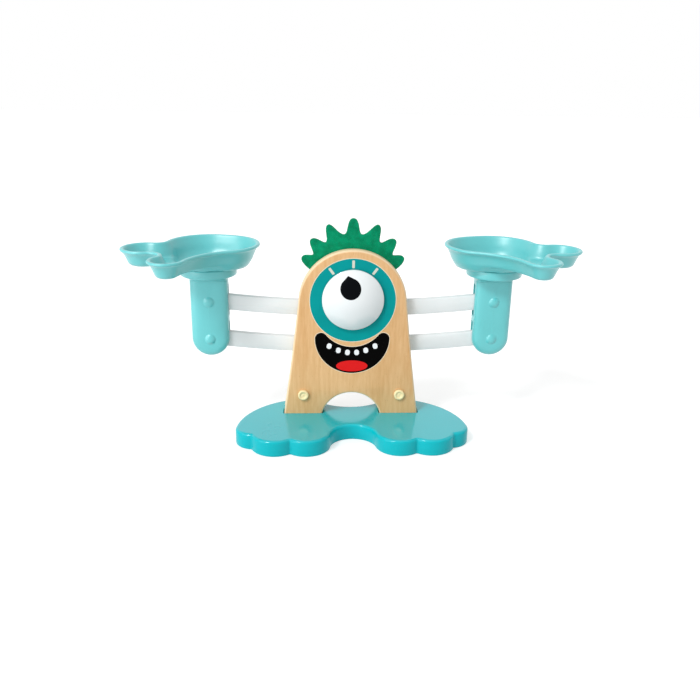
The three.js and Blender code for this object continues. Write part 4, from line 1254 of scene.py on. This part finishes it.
@dataclass
class Crest:
    """The felt sheet with seven spikes, cut from one piece and clamped between the panels."""

    finishes: Finishes
    reach: float = 71.1 * MM
    inner: float = 28.5 * MM
    centre_z: float = 126.2 * MM
    front: float = 10.3 * MM
    thickness: float = 3.0 * MM
    edge_round: float = 0.4 * MM
    skin: float = 0.55 * MM
    fibre: float = 1.6 * MM
    fibre_height: float = 0.22 * MM
    fibre_level: float = 0.55

    def quills(self) -> list[tuple[Point, Point, Point]]:
        """The right edge's curves from the middle tip down, as shares of the reach.

        Returns:
            Both handles and the end of each curve.
        """
        return [
            ((0.095, 1), (0.056, 0.797), (0.116, 0.797)),
            ((0.188, 0.797), (0.262, 0.938), (0.314, 0.919)),
            ((0.386, 0.893), (0.299, 0.715), (0.347, 0.695)),
            ((0.373, 0.683), (0.462, 0.767), (0.516, 0.741)),
            ((0.587, 0.715), (0.495, 0.59), (0.499, 0.545)),
            ((0.501, 0.511), (0.625, 0.567), (0.648, 0.497)),
            ((0.66, 0.452), (0.59, 0.386), (0.543, 0.348)),
        ]

    def outline(self, steps: int = 14) -> list[Point]:
        """The whole outline, from the middle tip round both sides and under the head.

        Args:
            steps: Points on each curve.

        Returns:
            Points, X and Z.
        """
        right: list[Point] = []
        start: Point = (0.0, 1.0)
        for a, b, end in self.quills():
            for i in range(steps):
                t = i / steps
                k = ((1 - t) ** 3, 3 * t * (1 - t) ** 2, 3 * t * t * (1 - t), t**3)
                right.append(tuple(sum(w * p[n] for w, p in zip(k, (start, a, b, end))) for n in (0, 1)))
            start = end
        right.append(start)
        foot = math.atan2(start[1], start[0])
        under = arc(0, 0, self.inner / self.reach, foot, math.pi - 2 * foot, math.radians(4))[1:]
        left = [(-x, z) for x, z in reversed(right)][:-1]
        return [(x * self.reach, self.centre_z + z * self.reach) for x, z in right + under + left]

    def build(self) -> None:
        outline = self.outline()
        pairs = zip(outline, [*outline[1:], outline[0]])
        area = sum(a[0] * b[1] - b[0] * a[1] for a, b in pairs) / 2
        sheet = cut_sheet("felt_crest", outline, self.front, self.front + self.thickness, self.edge_round)
        finish_with(sheet, "REMESH", mode="VOXEL", voxel_size=self.skin)
        fuzz = bpy.data.textures.new("fuzz", "CLOUDS")
        fuzz.noise_scale = self.fibre
        fuzz.noise_depth = 2
        finish_with(
            sheet, "DISPLACE", texture=fuzz, texture_coords="LOCAL",
            strength=self.fibre_height, mid_level=self.fibre_level,
        )
        settle(sheet, "felt_crest", 180)
        dress(sheet, self.finishes.felt)
        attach(sheet, "stand")
        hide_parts("crest")
        log.info("crest: felt sheet of %d faces", len(sheet.data.polygons))


@dataclass(frozen=True)
class Crescent:
    """A smile's outline: two arcs that run together in rounded corners.

    Its heights are those of the corners and of the upper and the lower edge in the middle.
    """

    half: float
    corner_z: float
    top_z: float
    low_z: float
    corner: float

    def radius(self, middle_z: float) -> float:
        """Radius of the arc from corner to corner through an edge's middle."""
        drop = self.corner_z - middle_z
        return (self.half * self.half + drop * drop) / (2 * drop)

    def outline(self, steps: int = 48, corner_steps: int = 12) -> list[Point]:
        """Goes along the lower edge and back along the upper one, round a corner after each.

        Args:
            steps: Lines in each long edge.
            corner_steps: Lines in each corner.

        Returns:
            Points, X and Z, counter-clockwise.
        """
        low_r, top_r = self.radius(self.low_z), self.radius(self.top_z)
        low_c, top_c = self.low_z + low_r, self.top_z + top_r
        inner = low_r - self.corner
        low_a = math.asin((self.half - self.corner) / inner)
        low_end = math.pi / 2 - low_a
        x0, z0 = inner * math.sin(low_a), low_c - inner * math.cos(low_a)
        top_a = math.atan2(x0, top_c - z0)
        reach = math.hypot(x0, top_c - z0) - self.corner
        corner_turn = low_end + math.pi / 2 + top_a

        def edge(radius: float, centre: float, start: float, turn: float) -> list[Point]:
            """Points of one long edge with both ends, its angles from straight down."""
            angles = [start + turn * i / steps for i in range(steps + 1)]
            return [(radius * math.sin(a), centre - radius * math.cos(a)) for a in angles]

        def rounded(x: float, start: float) -> list[Point]:
            """Points of one corner between its ends."""
            angles = [start + corner_turn * i / corner_steps for i in range(1, corner_steps)]
            return [(x + self.corner * math.cos(a), z0 + self.corner * math.sin(a)) for a in angles]

        right, left = rounded(x0, -low_end), rounded(-x0, math.pi / 2 - top_a)
        return [*edge(low_r, low_c, -low_a, 2 * low_a), *right, *edge(reach, top_c, top_a, -2 * top_a), *left]


@dataclass
class PrintedFace:
    """The prints on the front panel: a ring round the eye with three ticks, and a smile."""

    finishes: Finishes
    ring_z: float = 125.0 * MM
    ring_outer: float = 38.6 * MM
    ring_inner: float = 22.0 * MM
    border: float = 0.6 * MM
    film: float = 0.1 * MM
    border_film: float = 0.06 * MM
    tick_length: float = 7.0 * MM
    tick_width: float = 2.3 * MM
    tick_corner: float = 0.55 * MM
    tick_reach: float = 32.6 * MM
    tick_rise: float = 1 * MM
    tick_angle: float = 36.5
    smile: Crescent = Crescent(34.0 * MM, 90 * MM, 71.5 * MM, 55.6 * MM, 5.6 * MM)
    smile_border: Crescent = Crescent(34.6 * MM, 90 * MM, 71.0 * MM, 55 * MM, 6.2 * MM)
    teeth: int = 6
    teeth_half: float = 21 * MM
    teeth_z: float = 75.6 * MM
    teeth_rise: float = 6.4 * MM
    tooth_lean: float = 14
    tooth_length: float = 5.4 * MM
    tooth_width: float = 4.4 * MM
    tooth_corner: float = 2.1 * MM
    middle_half: float = 14.5 * MM
    middle_height: float = 5.4 * MM
    middle_z: float = 62.6 * MM

    def ring(self, name: str, outer: float, level: float, material: bpy.types.Material) -> None:
        """One printed ring.

        Args:
            name: The piece's name.
            outer: Outer radius.
            level: How far its face stands before the panel.
            material: Its finish.
        """
        bpy.ops.mesh.primitive_circle_add(
            vertices=144, radius=outer, fill_type="NGON",
            location=(0, 0, self.ring_z), rotation=(math.pi / 2, 0, 0),
        )
        obj = bpy.context.object
        with editing(obj):
            bpy.ops.mesh.select_all(action="SELECT")
            bpy.ops.mesh.inset(thickness=outer - self.ring_inner, depth=0)
            bpy.ops.mesh.delete(type="FACE")
            bpy.ops.mesh.select_all(action="SELECT")
            bpy.ops.mesh.extrude_region_move(TRANSFORM_OT_translate={"value": (0, -level, 0)})
            bpy.ops.mesh.select_all(action="SELECT")
            bpy.ops.mesh.normals_make_consistent(inside=False)
        settle(obj, name)
        dress(obj, material)
        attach(obj, "stand")

    def patch(self, name: str, outline: Sequence[Point], level: float, material: bpy.types.Material) -> None:
        """One printed patch on the panel's face.

        Args:
            name: The piece's name.
            outline: Its outline, X and Z.
            level: How far its face stands before the panel.
            material: Its finish.
        """
        obj = cut_sheet(name, outline, -level, 0.0)
        dress(obj, material)
        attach(obj, "stand")

    def bar(
        self, x: float, z: float, turn: float, length: float, width: float, corner: float
    ) -> list[Point]:
        """The outline of a bar, turned from upright.

        Args:
            x: Place of its middle along X.
            z: Height of its middle.
            turn: How far it is turned, in radians.
            length: Its length.
            width: Its width.
            corner: Radius of its corners, less than half its width.

        Returns:
            The outline, counter-clockwise.
        """
        across, along = width / 2 - corner, length / 2 - corner
        corners = ((across, -along), (across, along), (-across, along), (-across, -along))
        points: list[Point] = []
        for quarter, (u, v) in enumerate(corners):
            points += arc(u, v, corner, (quarter - 1) * math.pi / 2, math.pi / 2, math.radians(10))
        c, s = math.cos(turn), math.sin(turn)
        return [(x + u * c + v * s, z - u * s + v * c) for u, v in points]

    def build(self) -> None:
        """Prints the ring, its ticks and the smile."""
        border_outer = self.ring_outer + self.border
        self.ring("ring_border", border_outer, self.border_film, self.finishes.print_pale)
        self.ring("ring", self.ring_outer, self.film, self.finishes.print_teal)
        for label, turn in (("left", -self.tick_angle), ("middle", 0.0), ("right", self.tick_angle)):
            angle = math.radians(turn)
            x = self.tick_reach * math.sin(angle)
            z = self.ring_z + self.tick_reach * math.cos(angle) + self.tick_rise
            outline = self.bar(x, z, angle, self.tick_length, self.tick_width, self.tick_corner)
            self.patch(f"{label}_tick", outline, 2 * self.film, self.finishes.print_tick)
        self.patch("smile_border", self.smile_border.outline(), self.film, self.finishes.print_pale)
        self.patch("smile", self.smile.outline(), 2 * self.film, self.finishes.print_black)
        centre = (self.teeth - 1) / 2
        for i in range(self.teeth):
            share = (i - centre) / centre
            x, z = share * self.teeth_half, self.teeth_z + self.teeth_rise * share * share
            turn = math.radians(-self.tooth_lean * share)
            outline = self.bar(x, z, turn, self.tooth_length, self.tooth_width, self.tooth_corner)
            self.patch(f"tooth_{i + 1}", outline, 3 * self.film, self.finishes.print_white)
        middle = [(x * self.middle_half, self.middle_z + self.middle_height * z) for x, z in disc(1.0, 64)]
        self.patch("smile_middle", middle, 3 * self.film, self.finishes.print_red)
        log.info("printed face: ring, ticks and smile")


# The moving parts


@dataclass
class Beams:
    """The two curved white beams."""

    finishes: Finishes

    def build(self) -> None:
        """Makes both beams."""
        for node in ("upper_beam", "lower_beam"):
            dress(smooth_copy(node, f"{node}_bar", node, "beam_white"), self.finishes.white_plastic)
        log.info("beams: upper and lower")


@dataclass
class Eye:
    """The domed eye with its pointed pupil, which is the balance's pointer."""

    finishes: Finishes
    centre_z: float = 126.2 * MM
    base_y: float = -0.9 * MM
    radius: float = 27.8 * MM
    height: float = 12.2 * MM
    rim: float = 2.2 * MM
    wall: float = 2.2 * MM
    back_lip: float = 1.2 * MM
    core: float = 7.0 * MM
    boss_radius: float = 3.6 * MM
    boss_length: float = 8.0 * MM
    boss_edge: float = 0.4 * MM
    rest_angle: float = math.radians(-12)
    pupil_offset: float = 12.7 * MM
    pupil_radius: float = 9.2 * MM
    tip_reach: float = 11.6 * MM
    proud: float = 0.3 * MM

    def rise(self, reach: float, offset: float = 0.0) -> float:
        """Height of the dome above its back.

        Args:
            reach: Distance from the middle.
            offset: How far outside the dome's face the height is taken.

        Returns:
            The height.
        """
        cap = self.height - self.rim
        ball = (self.radius**2 + cap**2) / (2 * cap)
        return self.height - ball + math.sqrt(max((ball + offset) ** 2 - reach * reach, 0.0))

    def dome(self) -> bpy.types.Object:
        """Turns the dome with its hollow back, core and boss.

        Returns:
            The dome.
        """
        steps, inner_steps = 22, 8
        reaches = [(self.radius - 0.25 * MM) * math.cos(math.pi / 2 * i / steps) for i in range(steps + 1)]
        outer = [(reach, self.rise(reach)) for reach in reaches]
        inner_rim = self.radius - self.wall
        width = inner_rim - self.back_lip - self.core
        reaches = [self.core + width * i / inner_steps for i in range(inner_steps + 1)]
        hollow = [(reach, self.rise(reach, -self.wall)) for reach in reaches]
        profile = [
            (0, -self.boss_length), (self.boss_radius - self.boss_edge, -self.boss_length),
            (self.boss_radius, -self.boss_length + self.boss_edge), (self.boss_radius, 0), (self.core, 0),
            *hollow, (inner_rim, self.back_lip), (inner_rim, 0), (self.radius - 0.3 * MM, 0),
            (self.radius, 0.3 * MM), (self.radius, self.rim - 0.35 * MM),
            (self.radius - 0.08 * MM, self.rim - 0.05 * MM), *outer,
        ]
        foot = Vector((0, self.base_y, self.centre_z))
        return settle(turned("dome", profile, foot, True, 120), "dome", 34)

    def pupil(self) -> bpy.types.Object:
        """Shapes the pupil as a thin lens on the dome, its outline a round that runs to a tip.

        Returns:
            The pupil.
        """
        tangent = math.acos(self.pupil_radius / self.tip_reach)
        start = math.pi / 2 + tangent
        edge = arc(0, 0, self.pupil_radius, start, math.tau - 2 * tangent, math.radians(4))
        end = math.pi / 2 - tangent
        last = (self.pupil_radius * math.cos(end), self.pupil_radius * math.sin(end))
        tip = (0.0, self.tip_reach - 0.4 * MM)
        shares = (0.0, 0.3, 0.6, 0.85, 0.96)
        near = [((1 - t) * last[0] + t * tip[0], (1 - t) * last[1] + t * tip[1]) for t in shares]
        mirrored = [(-x, z) for x, z in reversed(near)]
        outline = [*edge, *near, tip, *mirrored[:-1]]

        def place(u: float, v: float, level: float) -> Vector:
            """Lays a point on the dome, turned with the pointer.

            Args:
                u: Place across the pupil.
                v: Place along the pupil, towards its tip.
                level: How far it stands before the dome's face.

            Returns:
                The point in the frame.
            """
            z = v + self.pupil_offset
            c, s = math.cos(self.rest_angle), math.sin(self.rest_angle)
            y = self.base_y - self.rise(math.hypot(u, z)) - level
            return Vector((u * c + z * s, y, self.centre_z + z * c - u * s))

        rings = [(1.0, -0.8 * MM), (1.0, 0.0), (0.992, 0.6 * self.proud), (0.975, 0.9 * self.proud)]
        rings += [(0.95 - 0.09 * i, self.proud) for i in range(11)]
        stack = [([(x * share, z * share) for x, z in outline], level) for share, level in rings]
        return settle(skinned("pointer_pupil", stack, place), "pointer_pupil", 50)

    def build(self) -> None:
        """Makes the dome, the pupil and the screw that holds them."""
        dome = self.dome()
        dress(dome, self.finishes.eye_white)
        stands_for(dome, "eye", "eye_white", "eye_dome")
        pupil = self.pupil()
        dress(pupil, self.finishes.pupil_black)
        stands_for(pupil, "eye", "pupil_black", "pupil")
        Screw(self.finishes).fit("eye_screw", "eye")
        log.info("eye: dome, pupil and screw")


@dataclass
class Dish:
    """A lobed dish: a palm with a sunk basin and two blunt fingers, modelled for the right side."""

    finishes: Finishes
    post: Vector = Vector((129 * MM, 14 * MM, 0))
    rim_z: float = 174.3 * MM
    palm: float = 37.8 * MM
    sink: float = 5.5 * MM
    wall_foot: float = 6.0 * MM
    basin_inset: float = 12.5 * MM
    finger_depth: float = 15.0 * MM
    floor: float = 2.2 * MM
    wall_end: float = 8 * MM
    wall_blend: float = 4.8 * MM
    shift: float = 0.302
    narrowing: float = 0.079
    cell: float = 2.2 * MM

    def outline(self, inset: float) -> list[Point]:
        """The rim's plan outline around the post, its lobes given as shares of the palm.

        Args:
            inset: How far it is drawn in.

        Returns:
            Points, X and Y, counter-clockwise.
        """
        w = self.palm
        lobes = [
            Lobe(0.683 * w, -1.7 * w, 0.416 * w, 0.262 * w),
            Lobe(1.386 * w, -0.497 * w, 0.526 * w, 0.235 * w),
            Lobe(0, 0, w, 2.4 * w, True),
            Lobe(-self.shift * w, 0, 0.921 * w, 1.362 * w),
        ]
        return lobed(lobes, inset, 5)

    def profile(self) -> list[Point]:
        """Insets and depths from the underside round the lip to the floor.

        Returns:
            The pairs, in millimetres.
        """
        return [
            (11.0, 15.0), (9.6, 14.92), (8.3, 14.5), (7.2, 13.75), (6.4, 12.7), (5.75, 11.1), (4.95, 9.0),
            (4.0, 6.8), (3.0, 4.9), (2.1, 3.5), (1.4, 2.85), (0.7, 2.5), (0.22, 2.1), (0.0, 1.55),
            (0.0, 1.0), (0.2, 0.5), (0.6, 0.14), (1.2, 0.0), (2.1, 0.0), (2.8, 0.16), (3.3, 0.55),
            (3.8, 1.5), (4.6, 3.3), (5.7, 5.6), (6.7, 7.9), (7.4, 9.9), (7.9, 11.2), (8.7, 12.2),
            (9.8, 12.7), (11.0, 12.8),
        ]

    def depth_under(self, u: float, v: float) -> float:
        """How far the basin sinks below the fingers' floor at one place in plan.

        Args:
            u: Place along X from the post's axis.
            v: Place along Y from the post's axis.

        Returns:
            The depth, zero outside the palm.
        """
        reach = self.shift * self.palm
        share = clamped(-u / reach)
        inside = self.palm * (1 - self.narrowing * share) - math.hypot(u + reach * share, v)
        t = clamped((inside - self.wall_foot) / (self.basin_inset - self.wall_foot))
        return self.sink * t * t * (3 - 2 * t)

    def model(self) -> bpy.types.Object:
        """Draws the skin, cuts a grid into underside and floor, and sinks the basin.

        Returns:
            The right dish.
        """
        rings = [(self.outline(inset * MM), -depth * MM) for inset, depth in self.profile()]
        dish = skinned("right_dish", rings, upright)
        reach = self.palm + 1.0 * MM
        for level in (-self.finger_depth, -self.finger_depth + self.floor):
            cap_grid(dish, level, (-reach, -reach), (reach, reach), self.cell)
        with editing(dish) as mesh:
            for vert in mesh.verts:
                u, v, z = vert.co
                t = clamped((-z - self.wall_end) / self.wall_blend)
                vert.co = self.post + Vector((u, v, self.rim_z + z - t * self.depth_under(u, v)))
            bmesh.update_edit_mesh(dish.data)
        return settle(dish, "right_dish", 50)

    def build(self) -> None:
        """Makes the right dish and its mirror image."""
        right = self.model()
        left = twin(right, "left_dish")
        for side, dish in ((Side.LEFT, left), (Side.RIGHT, right)):
            dress(dish, self.finishes.aqua)
            stands_for(dish, f"{side.label}_pan", "pan_aqua", f"{side.label}_pan")
        log.info("dishes: two of %d faces", len(right.data.polygons))


@dataclass
class Post:
    """The hollow post under a dish: two shells, the collar on top, pins and screws."""

    finishes: Finishes
    post: Vector = Vector((129 * MM, 14 * MM, 0))
    half_width: float = 17.0 * MM
    half_depth: float = 10.0 * MM
    roll: float = 16.5 * MM
    wall: float = 2.2 * MM
    top_z: float = 141.0 * MM
    pins: Point = (122.2 * MM, 87.0 * MM)
    parting: float = 0.15 * MM
    slot_half: float = 3.6 * MM
    slot_below: float = 14.6 * MM
    slot_above: float = 15 * MM
    slot_end: float = 5 * MM
    screw_rise: float = 11.6 * MM
    collar_gap: float = 0.12 * MM
    collar_top: float = 153.5 * MM
    collar_radius: float = 25.0 * MM
    collar_bore: float = 18.3 * MM
    collar_proud: float = 0.2 * MM
    collar_lip: float = 4 * MM
    flare_inset: float = 0.9 * MM
    plug_inset: float = 2.8 * MM
    plug_depth: float = 2.7 * MM
    boss: tuple[float, float, float] = (3.8 * MM, 0.0, 9.0 * MM)
    well: tuple[float, float, float] = (2.9 * MM, 7.9 * MM, 12.0 * MM)

    def outline(self, inset: float, top: float) -> list[Point]:
        """The front outline: straight sides over a half-round lower end.

        Args:
            inset: How far its sides and end are drawn in.
            top: Height of its upper end.

        Returns:
            Points, X and Z, counter-clockwise.
        """
        half = self.half_width - inset
        end = arc(0, self.pins[1], half, math.pi, math.pi, math.radians(5))
        return [*end, (half, self.pins[1]), (half, top), (-half, top)]

    def pillow(self, name: str, inset: float, top: float, start: float) -> bpy.types.Object:
        """The front half of the post's body, from near the beam's plane to its face.

        Args:
            name: The piece's name.
            inset: How far inside the outer surface it lies.
            top: Height of its upper end.
            start: Distance of its back from the beam's plane.

        Returns:
            The solid half.
        """
        depth, roll, steps = self.half_depth - inset, self.roll - inset, 14
        rings = []
        for i in range(steps + 1):
            a = math.pi / 2 * i / steps
            level = max(depth * math.sqrt(math.sin(a)), start)
            rings.append((self.outline(inset + roll * (1 - math.sqrt(math.cos(a))), top), level))
        rings[0] = (rings[0][0], start)

        def place(u: float, v: float, level: float) -> Vector:
            """Stands the outline upright before the beam's plane."""
            return self.post + Vector((u, -level, v))

        return skinned(name, [rings[0], *[ring for ring in rings[1:] if ring[1] > start]], place)

    def shell(self) -> bpy.types.Object:
        """The right post's front shell, with its slots and two domed bumps.

        Returns:
            The shell.
        """
        over = 2 * MM
        shell = self.pillow("right_front_shell", 0.0, self.top_z, self.parting)
        carve(shell, self.pillow("hollow", self.wall, self.top_z + over, -over))
        profile = [
            (5.1, -1.5), (5.1, 0), (4.8, 0.1), (4.4, 0.38), (3.8, 0.85), (3.0, 1.3), (2.0, 1.66),
            (0.9, 1.86), (0, 1.9),
        ]
        for z in self.pins:
            foot = self.post + Vector((0, -self.half_depth, z))
            bump = turned("bump", [(r * MM, h * MM) for r, h in profile], foot, True, 40)
            carve(shell, bump, Cut.JOIN_ON)
            low = self.post + Vector((-self.half_width - over, -self.slot_half, z - self.slot_below))
            high = self.post + Vector((-self.slot_end, self.slot_half, z + self.slot_above))
            carve(shell, block(low, high))
        return settle(shell, "right_front_shell", 40)

    def collar(self) -> bpy.types.Object:
        """The collar: an oblong plug, a flare to round, and a ring with soft edges.

        Returns:
            The right post's collar.
        """
        sides = 96

        def oblong(inset: float) -> list[Point]:
            """The post's plan outline, a rounded oblong.

            Args:
                inset: How far it is drawn in.

            Returns:
                Points, X and Y, counter-clockwise.
            """
            points = []
            for i in range(sides):
                c, s = math.cos(math.tau * i / sides), math.sin(math.tau * i / sides)
                x = (self.half_width - inset) * math.copysign(math.sqrt(abs(c)), c)
                points.append((x, (self.half_depth - inset) * math.copysign(math.sqrt(abs(s)), s)))
            return points

        def ring(share: float, level: float) -> tuple[list[Point], float]:
            """A ring between oblong and round.

            Args:
                share: 0 for the oblong, 1 for the full circle.
                level: Its height.

            Returns:
                Its points and its height.
            """
            pairs = zip(oblong(0.0), disc(self.collar_radius - self.flare_inset, sides))
            k = 1 - share
            return [(k * a[0] + share * b[0], k * a[1] + share * b[1]) for a, b in pairs], level

        low, top = self.top_z + self.collar_gap, self.collar_top + self.collar_proud
        flare = [(0.0, 0.8), (0.12, 2.1), (0.4, 3.6), (0.75, 4.6)]
        edges = [
            (0.9, 5.0), (0.45, 5.15), (0.12, 5.5), (0.0, 6.0), (0.0, 11.7), (0.1, 12.15), (0.3, 12.42),
            (0.65, 12.55),
        ]
        plug, bore = oblong(self.plug_inset), disc(self.collar_bore, sides)
        rings = [(plug, low - self.plug_depth), (plug, low), ring(0.0, low)]
        rings += [ring(share, low + rise * MM) for share, rise in flare]
        rings += [(disc(self.collar_radius - inset * MM, sides), low + rise * MM) for inset, rise in edges]
        rings += [(bore, top), (bore, top - self.collar_lip)]
        collar = skinned("right_ring_collar", rings, lambda u, v, level: self.post + Vector((u, v, level)))
        return settle(collar, "right_ring_collar", 32)

    def rear(self, front: bpy.types.Object) -> bpy.types.Object:
        """The rear shell: the front one turned to the back, with a boss and a well for each screw.

        Both are given as their radius and how far behind the beam's plane they start and end.

        Args:
            front: The right post's front shell.

        Returns:
            The right post's rear shell.
        """
        move = Vector((0, 2 * self.post.y, 0))
        shell = twin(front, "right_rear_shell", Vector((1, -1, 1)), move)
        middle = sum(self.pins) / 2
        for z in (middle, self.pins[0] + self.screw_rise):
            for (radius, low, high), cut in ((self.boss, Cut.JOIN_ON), (self.well, Cut.TAKE_OFF)):
                place = self.post + Vector((0, (low + high) / 2, z))
                bpy.ops.mesh.primitive_cylinder_add(
                    vertices=40, radius=radius, depth=high - low,
                    location=place, rotation=(math.pi / 2, 0, 0),
                )
                carve(shell, bpy.context.object, cut)
        return settle(shell, "right_rear_shell", 40)

    def build(self) -> None:
        """Makes both posts with their collars, pins and screws."""
        front, collar = self.shell(), self.collar()
        rear = self.rear(front)
        screw = Screw(self.finishes)
        for piece, node in ((front, "post_front"), (rear, "post_rear"), (collar, "collar")):
            left = twin(piece, piece.name.replace("right", "left"))
            for side, copy in ((Side.LEFT, left), (Side.RIGHT, piece)):
                dress(copy, self.finishes.aqua)
                stands_for(copy, f"{side.label}_pan", "pan_aqua", f"{side.label}_{node}")
        for side in Side:
            for level in ("upper", "lower"):
                dress(frame["nodes"][f"{side.label}_{level}_pin"], self.finishes.steel)
            for level in ("middle", "top"):
                screw.fit(f"{side.label}_post_{level}_screw", f"{side.label}_pan")
        log.info("posts: shells, collars, pins and screws")


# The studio


@dataclass
class Studio:
    """Pale floor, soft lamps, and the camera where the photograph was taken from."""

    location: Vector = Vector((-38.9 * MM, -688 * MM, 328.9 * MM))
    pitch: float = math.radians(20)
    yaw: float = math.radians(3.08)
    roll: float = math.radians(0.98)
    lens: float = 41.14
    sensor: float = 36
    floor_size: float = 9
    floor_colour: Colour = colour(206, 206, 206)
    floor_roughness: float = 0.6
    floor_glow: float = 0.52
    surrounding: float = 0.66
    sky_from: Vector = Vector((-0.55, -0.6, 0.85))
    sky_strength: float = 1.6
    sky_spread: float = math.radians(14)
    lamp_place: Vector = Vector((-1.0, -0.7, 0.25))
    lamp_aim: Vector = Vector((0, 0, 0.1))
    lamp_size: float = 0.8
    lamp_power: float = 6.0
    lamp_tint: tuple[float, float, float] = (0.94, 0.98, 1.0)

    def camera(self) -> None:
        """Places the camera and makes it the scene's."""
        sy, cy = math.sin(self.yaw), math.cos(self.yaw)
        sp, cp = math.sin(self.pitch), math.cos(self.pitch)
        forward = Vector((sy * cp, cy * cp, -sp))
        right = Vector((cy, -sy, 0))
        up = right.cross(forward)
        across = right * math.cos(self.roll) + up * math.sin(self.roll)
        above = up * math.cos(self.roll) - right * math.sin(self.roll)
        data = bpy.data.cameras.new("camera")
        data.lens = self.lens
        data.sensor_width = self.sensor
        data.sensor_fit = "HORIZONTAL"
        data.clip_start = 10 * MM
        obj = bpy.data.objects.new("camera", data)
        bpy.context.scene.collection.objects.link(obj)
        turn = Matrix((across, above, -forward)).transposed().to_4x4()
        obj.matrix_world = Matrix.Translation(self.location) @ turn
        bpy.context.scene.camera = obj

    def in_view(self, nodes: Nodes) -> bpy.types.NodeSocket:
        """One where a surface is seen, straight, mirrored or through glass, else zero.

        Args:
            nodes: The nodes of the floor or the surrounding.

        Returns:
            The value's socket.
        """
        path = nodes.add("ShaderNodeLightPath")
        mirrored = nodes.maths("MAXIMUM", path.outputs["Is Glossy Ray"], path.outputs["Is Transmission Ray"])
        return nodes.maths("MAXIMUM", path.outputs["Is Camera Ray"], mirrored)

    def floor(self) -> None:
        """A pale floor that keeps the shadow and is white where it is seen."""
        deselect()
        bpy.ops.mesh.primitive_plane_add(size=self.floor_size, location=(0, 0, 0))
        obj = bpy.context.object
        with editing(obj):
            bpy.ops.mesh.select_all(action="SELECT")
            bpy.ops.mesh.subdivide(number_cuts=6)
        settle(obj, "floor")
        material = bpy.data.materials.new("floor")
        material.use_nodes = True
        nodes = Nodes(material.node_tree)
        shader = material.node_tree.nodes["Principled BSDF"]
        shader.inputs["Base Color"].default_value = self.floor_colour
        shader.inputs["Roughness"].default_value = self.floor_roughness
        shader.inputs["Emission Color"].default_value = (1, 1, 1, 1)
        glow = nodes.maths("MULTIPLY", self.in_view(nodes), self.floor_glow)
        nodes.join(glow, shader.inputs["Emission Strength"])
        dress(obj, material)

    def lamp(self) -> None:
        """A square soft lamp on the left that looks at the balance."""
        data = bpy.data.lights.new("left_box", "AREA")
        data.shape = "SQUARE"
        data.size = self.lamp_size
        data.energy = self.lamp_power
        data.color = self.lamp_tint
        obj = bpy.data.objects.new("left_box", data)
        bpy.context.scene.collection.objects.link(obj)
        obj.location = self.lamp_place
        obj.rotation_euler = (self.lamp_aim - self.lamp_place).to_track_quat("-Z", "Y").to_euler()

    def sky(self) -> None:
        """A far soft light that shines the same all over."""
        data = bpy.data.lights.new("sky", "SUN")
        data.energy = self.sky_strength
        data.angle = self.sky_spread
        obj = bpy.data.objects.new("sky", data)
        bpy.context.scene.collection.objects.link(obj)
        obj.rotation_euler = (-self.sky_from).to_track_quat("-Z", "Y").to_euler()

    def world(self) -> None:
        """A plain pale surrounding, white where it is seen."""
        world = bpy.data.worlds.new("surrounding")
        bpy.context.scene.world = world
        world.use_nodes = True
        nodes = Nodes(world.node_tree)
        background = world.node_tree.nodes["Background"]
        background.inputs["Color"].default_value = (1, 1, 1, 1)
        strength = nodes.between(self.in_view(nodes), 0, 1, (self.surrounding, 1.0))
        nodes.join(strength, background.inputs["Strength"])

    def build(self) -> None:
        """Sets up camera, floor, lamps and surrounding."""
        self.camera()
        self.floor()
        self.world()
        self.sky()
        self.lamp()
        bpy.context.scene.view_settings.view_transform = "Standard"


def main() -> None:
    """Builds the balance piece by piece."""
    logging.basicConfig(level=logging.INFO, format="%(message)s")
    finishes = Finishes()
    Studio().build()
    Base(finishes).build()
    Body(finishes).build()
    Crest(finishes).build()
    PrintedFace(finishes).build()
    Beams(finishes).build()
    Eye(finishes).build()
    Dish(finishes).build()
    Post(finishes).build()


if __name__ == "__main__":
    main()
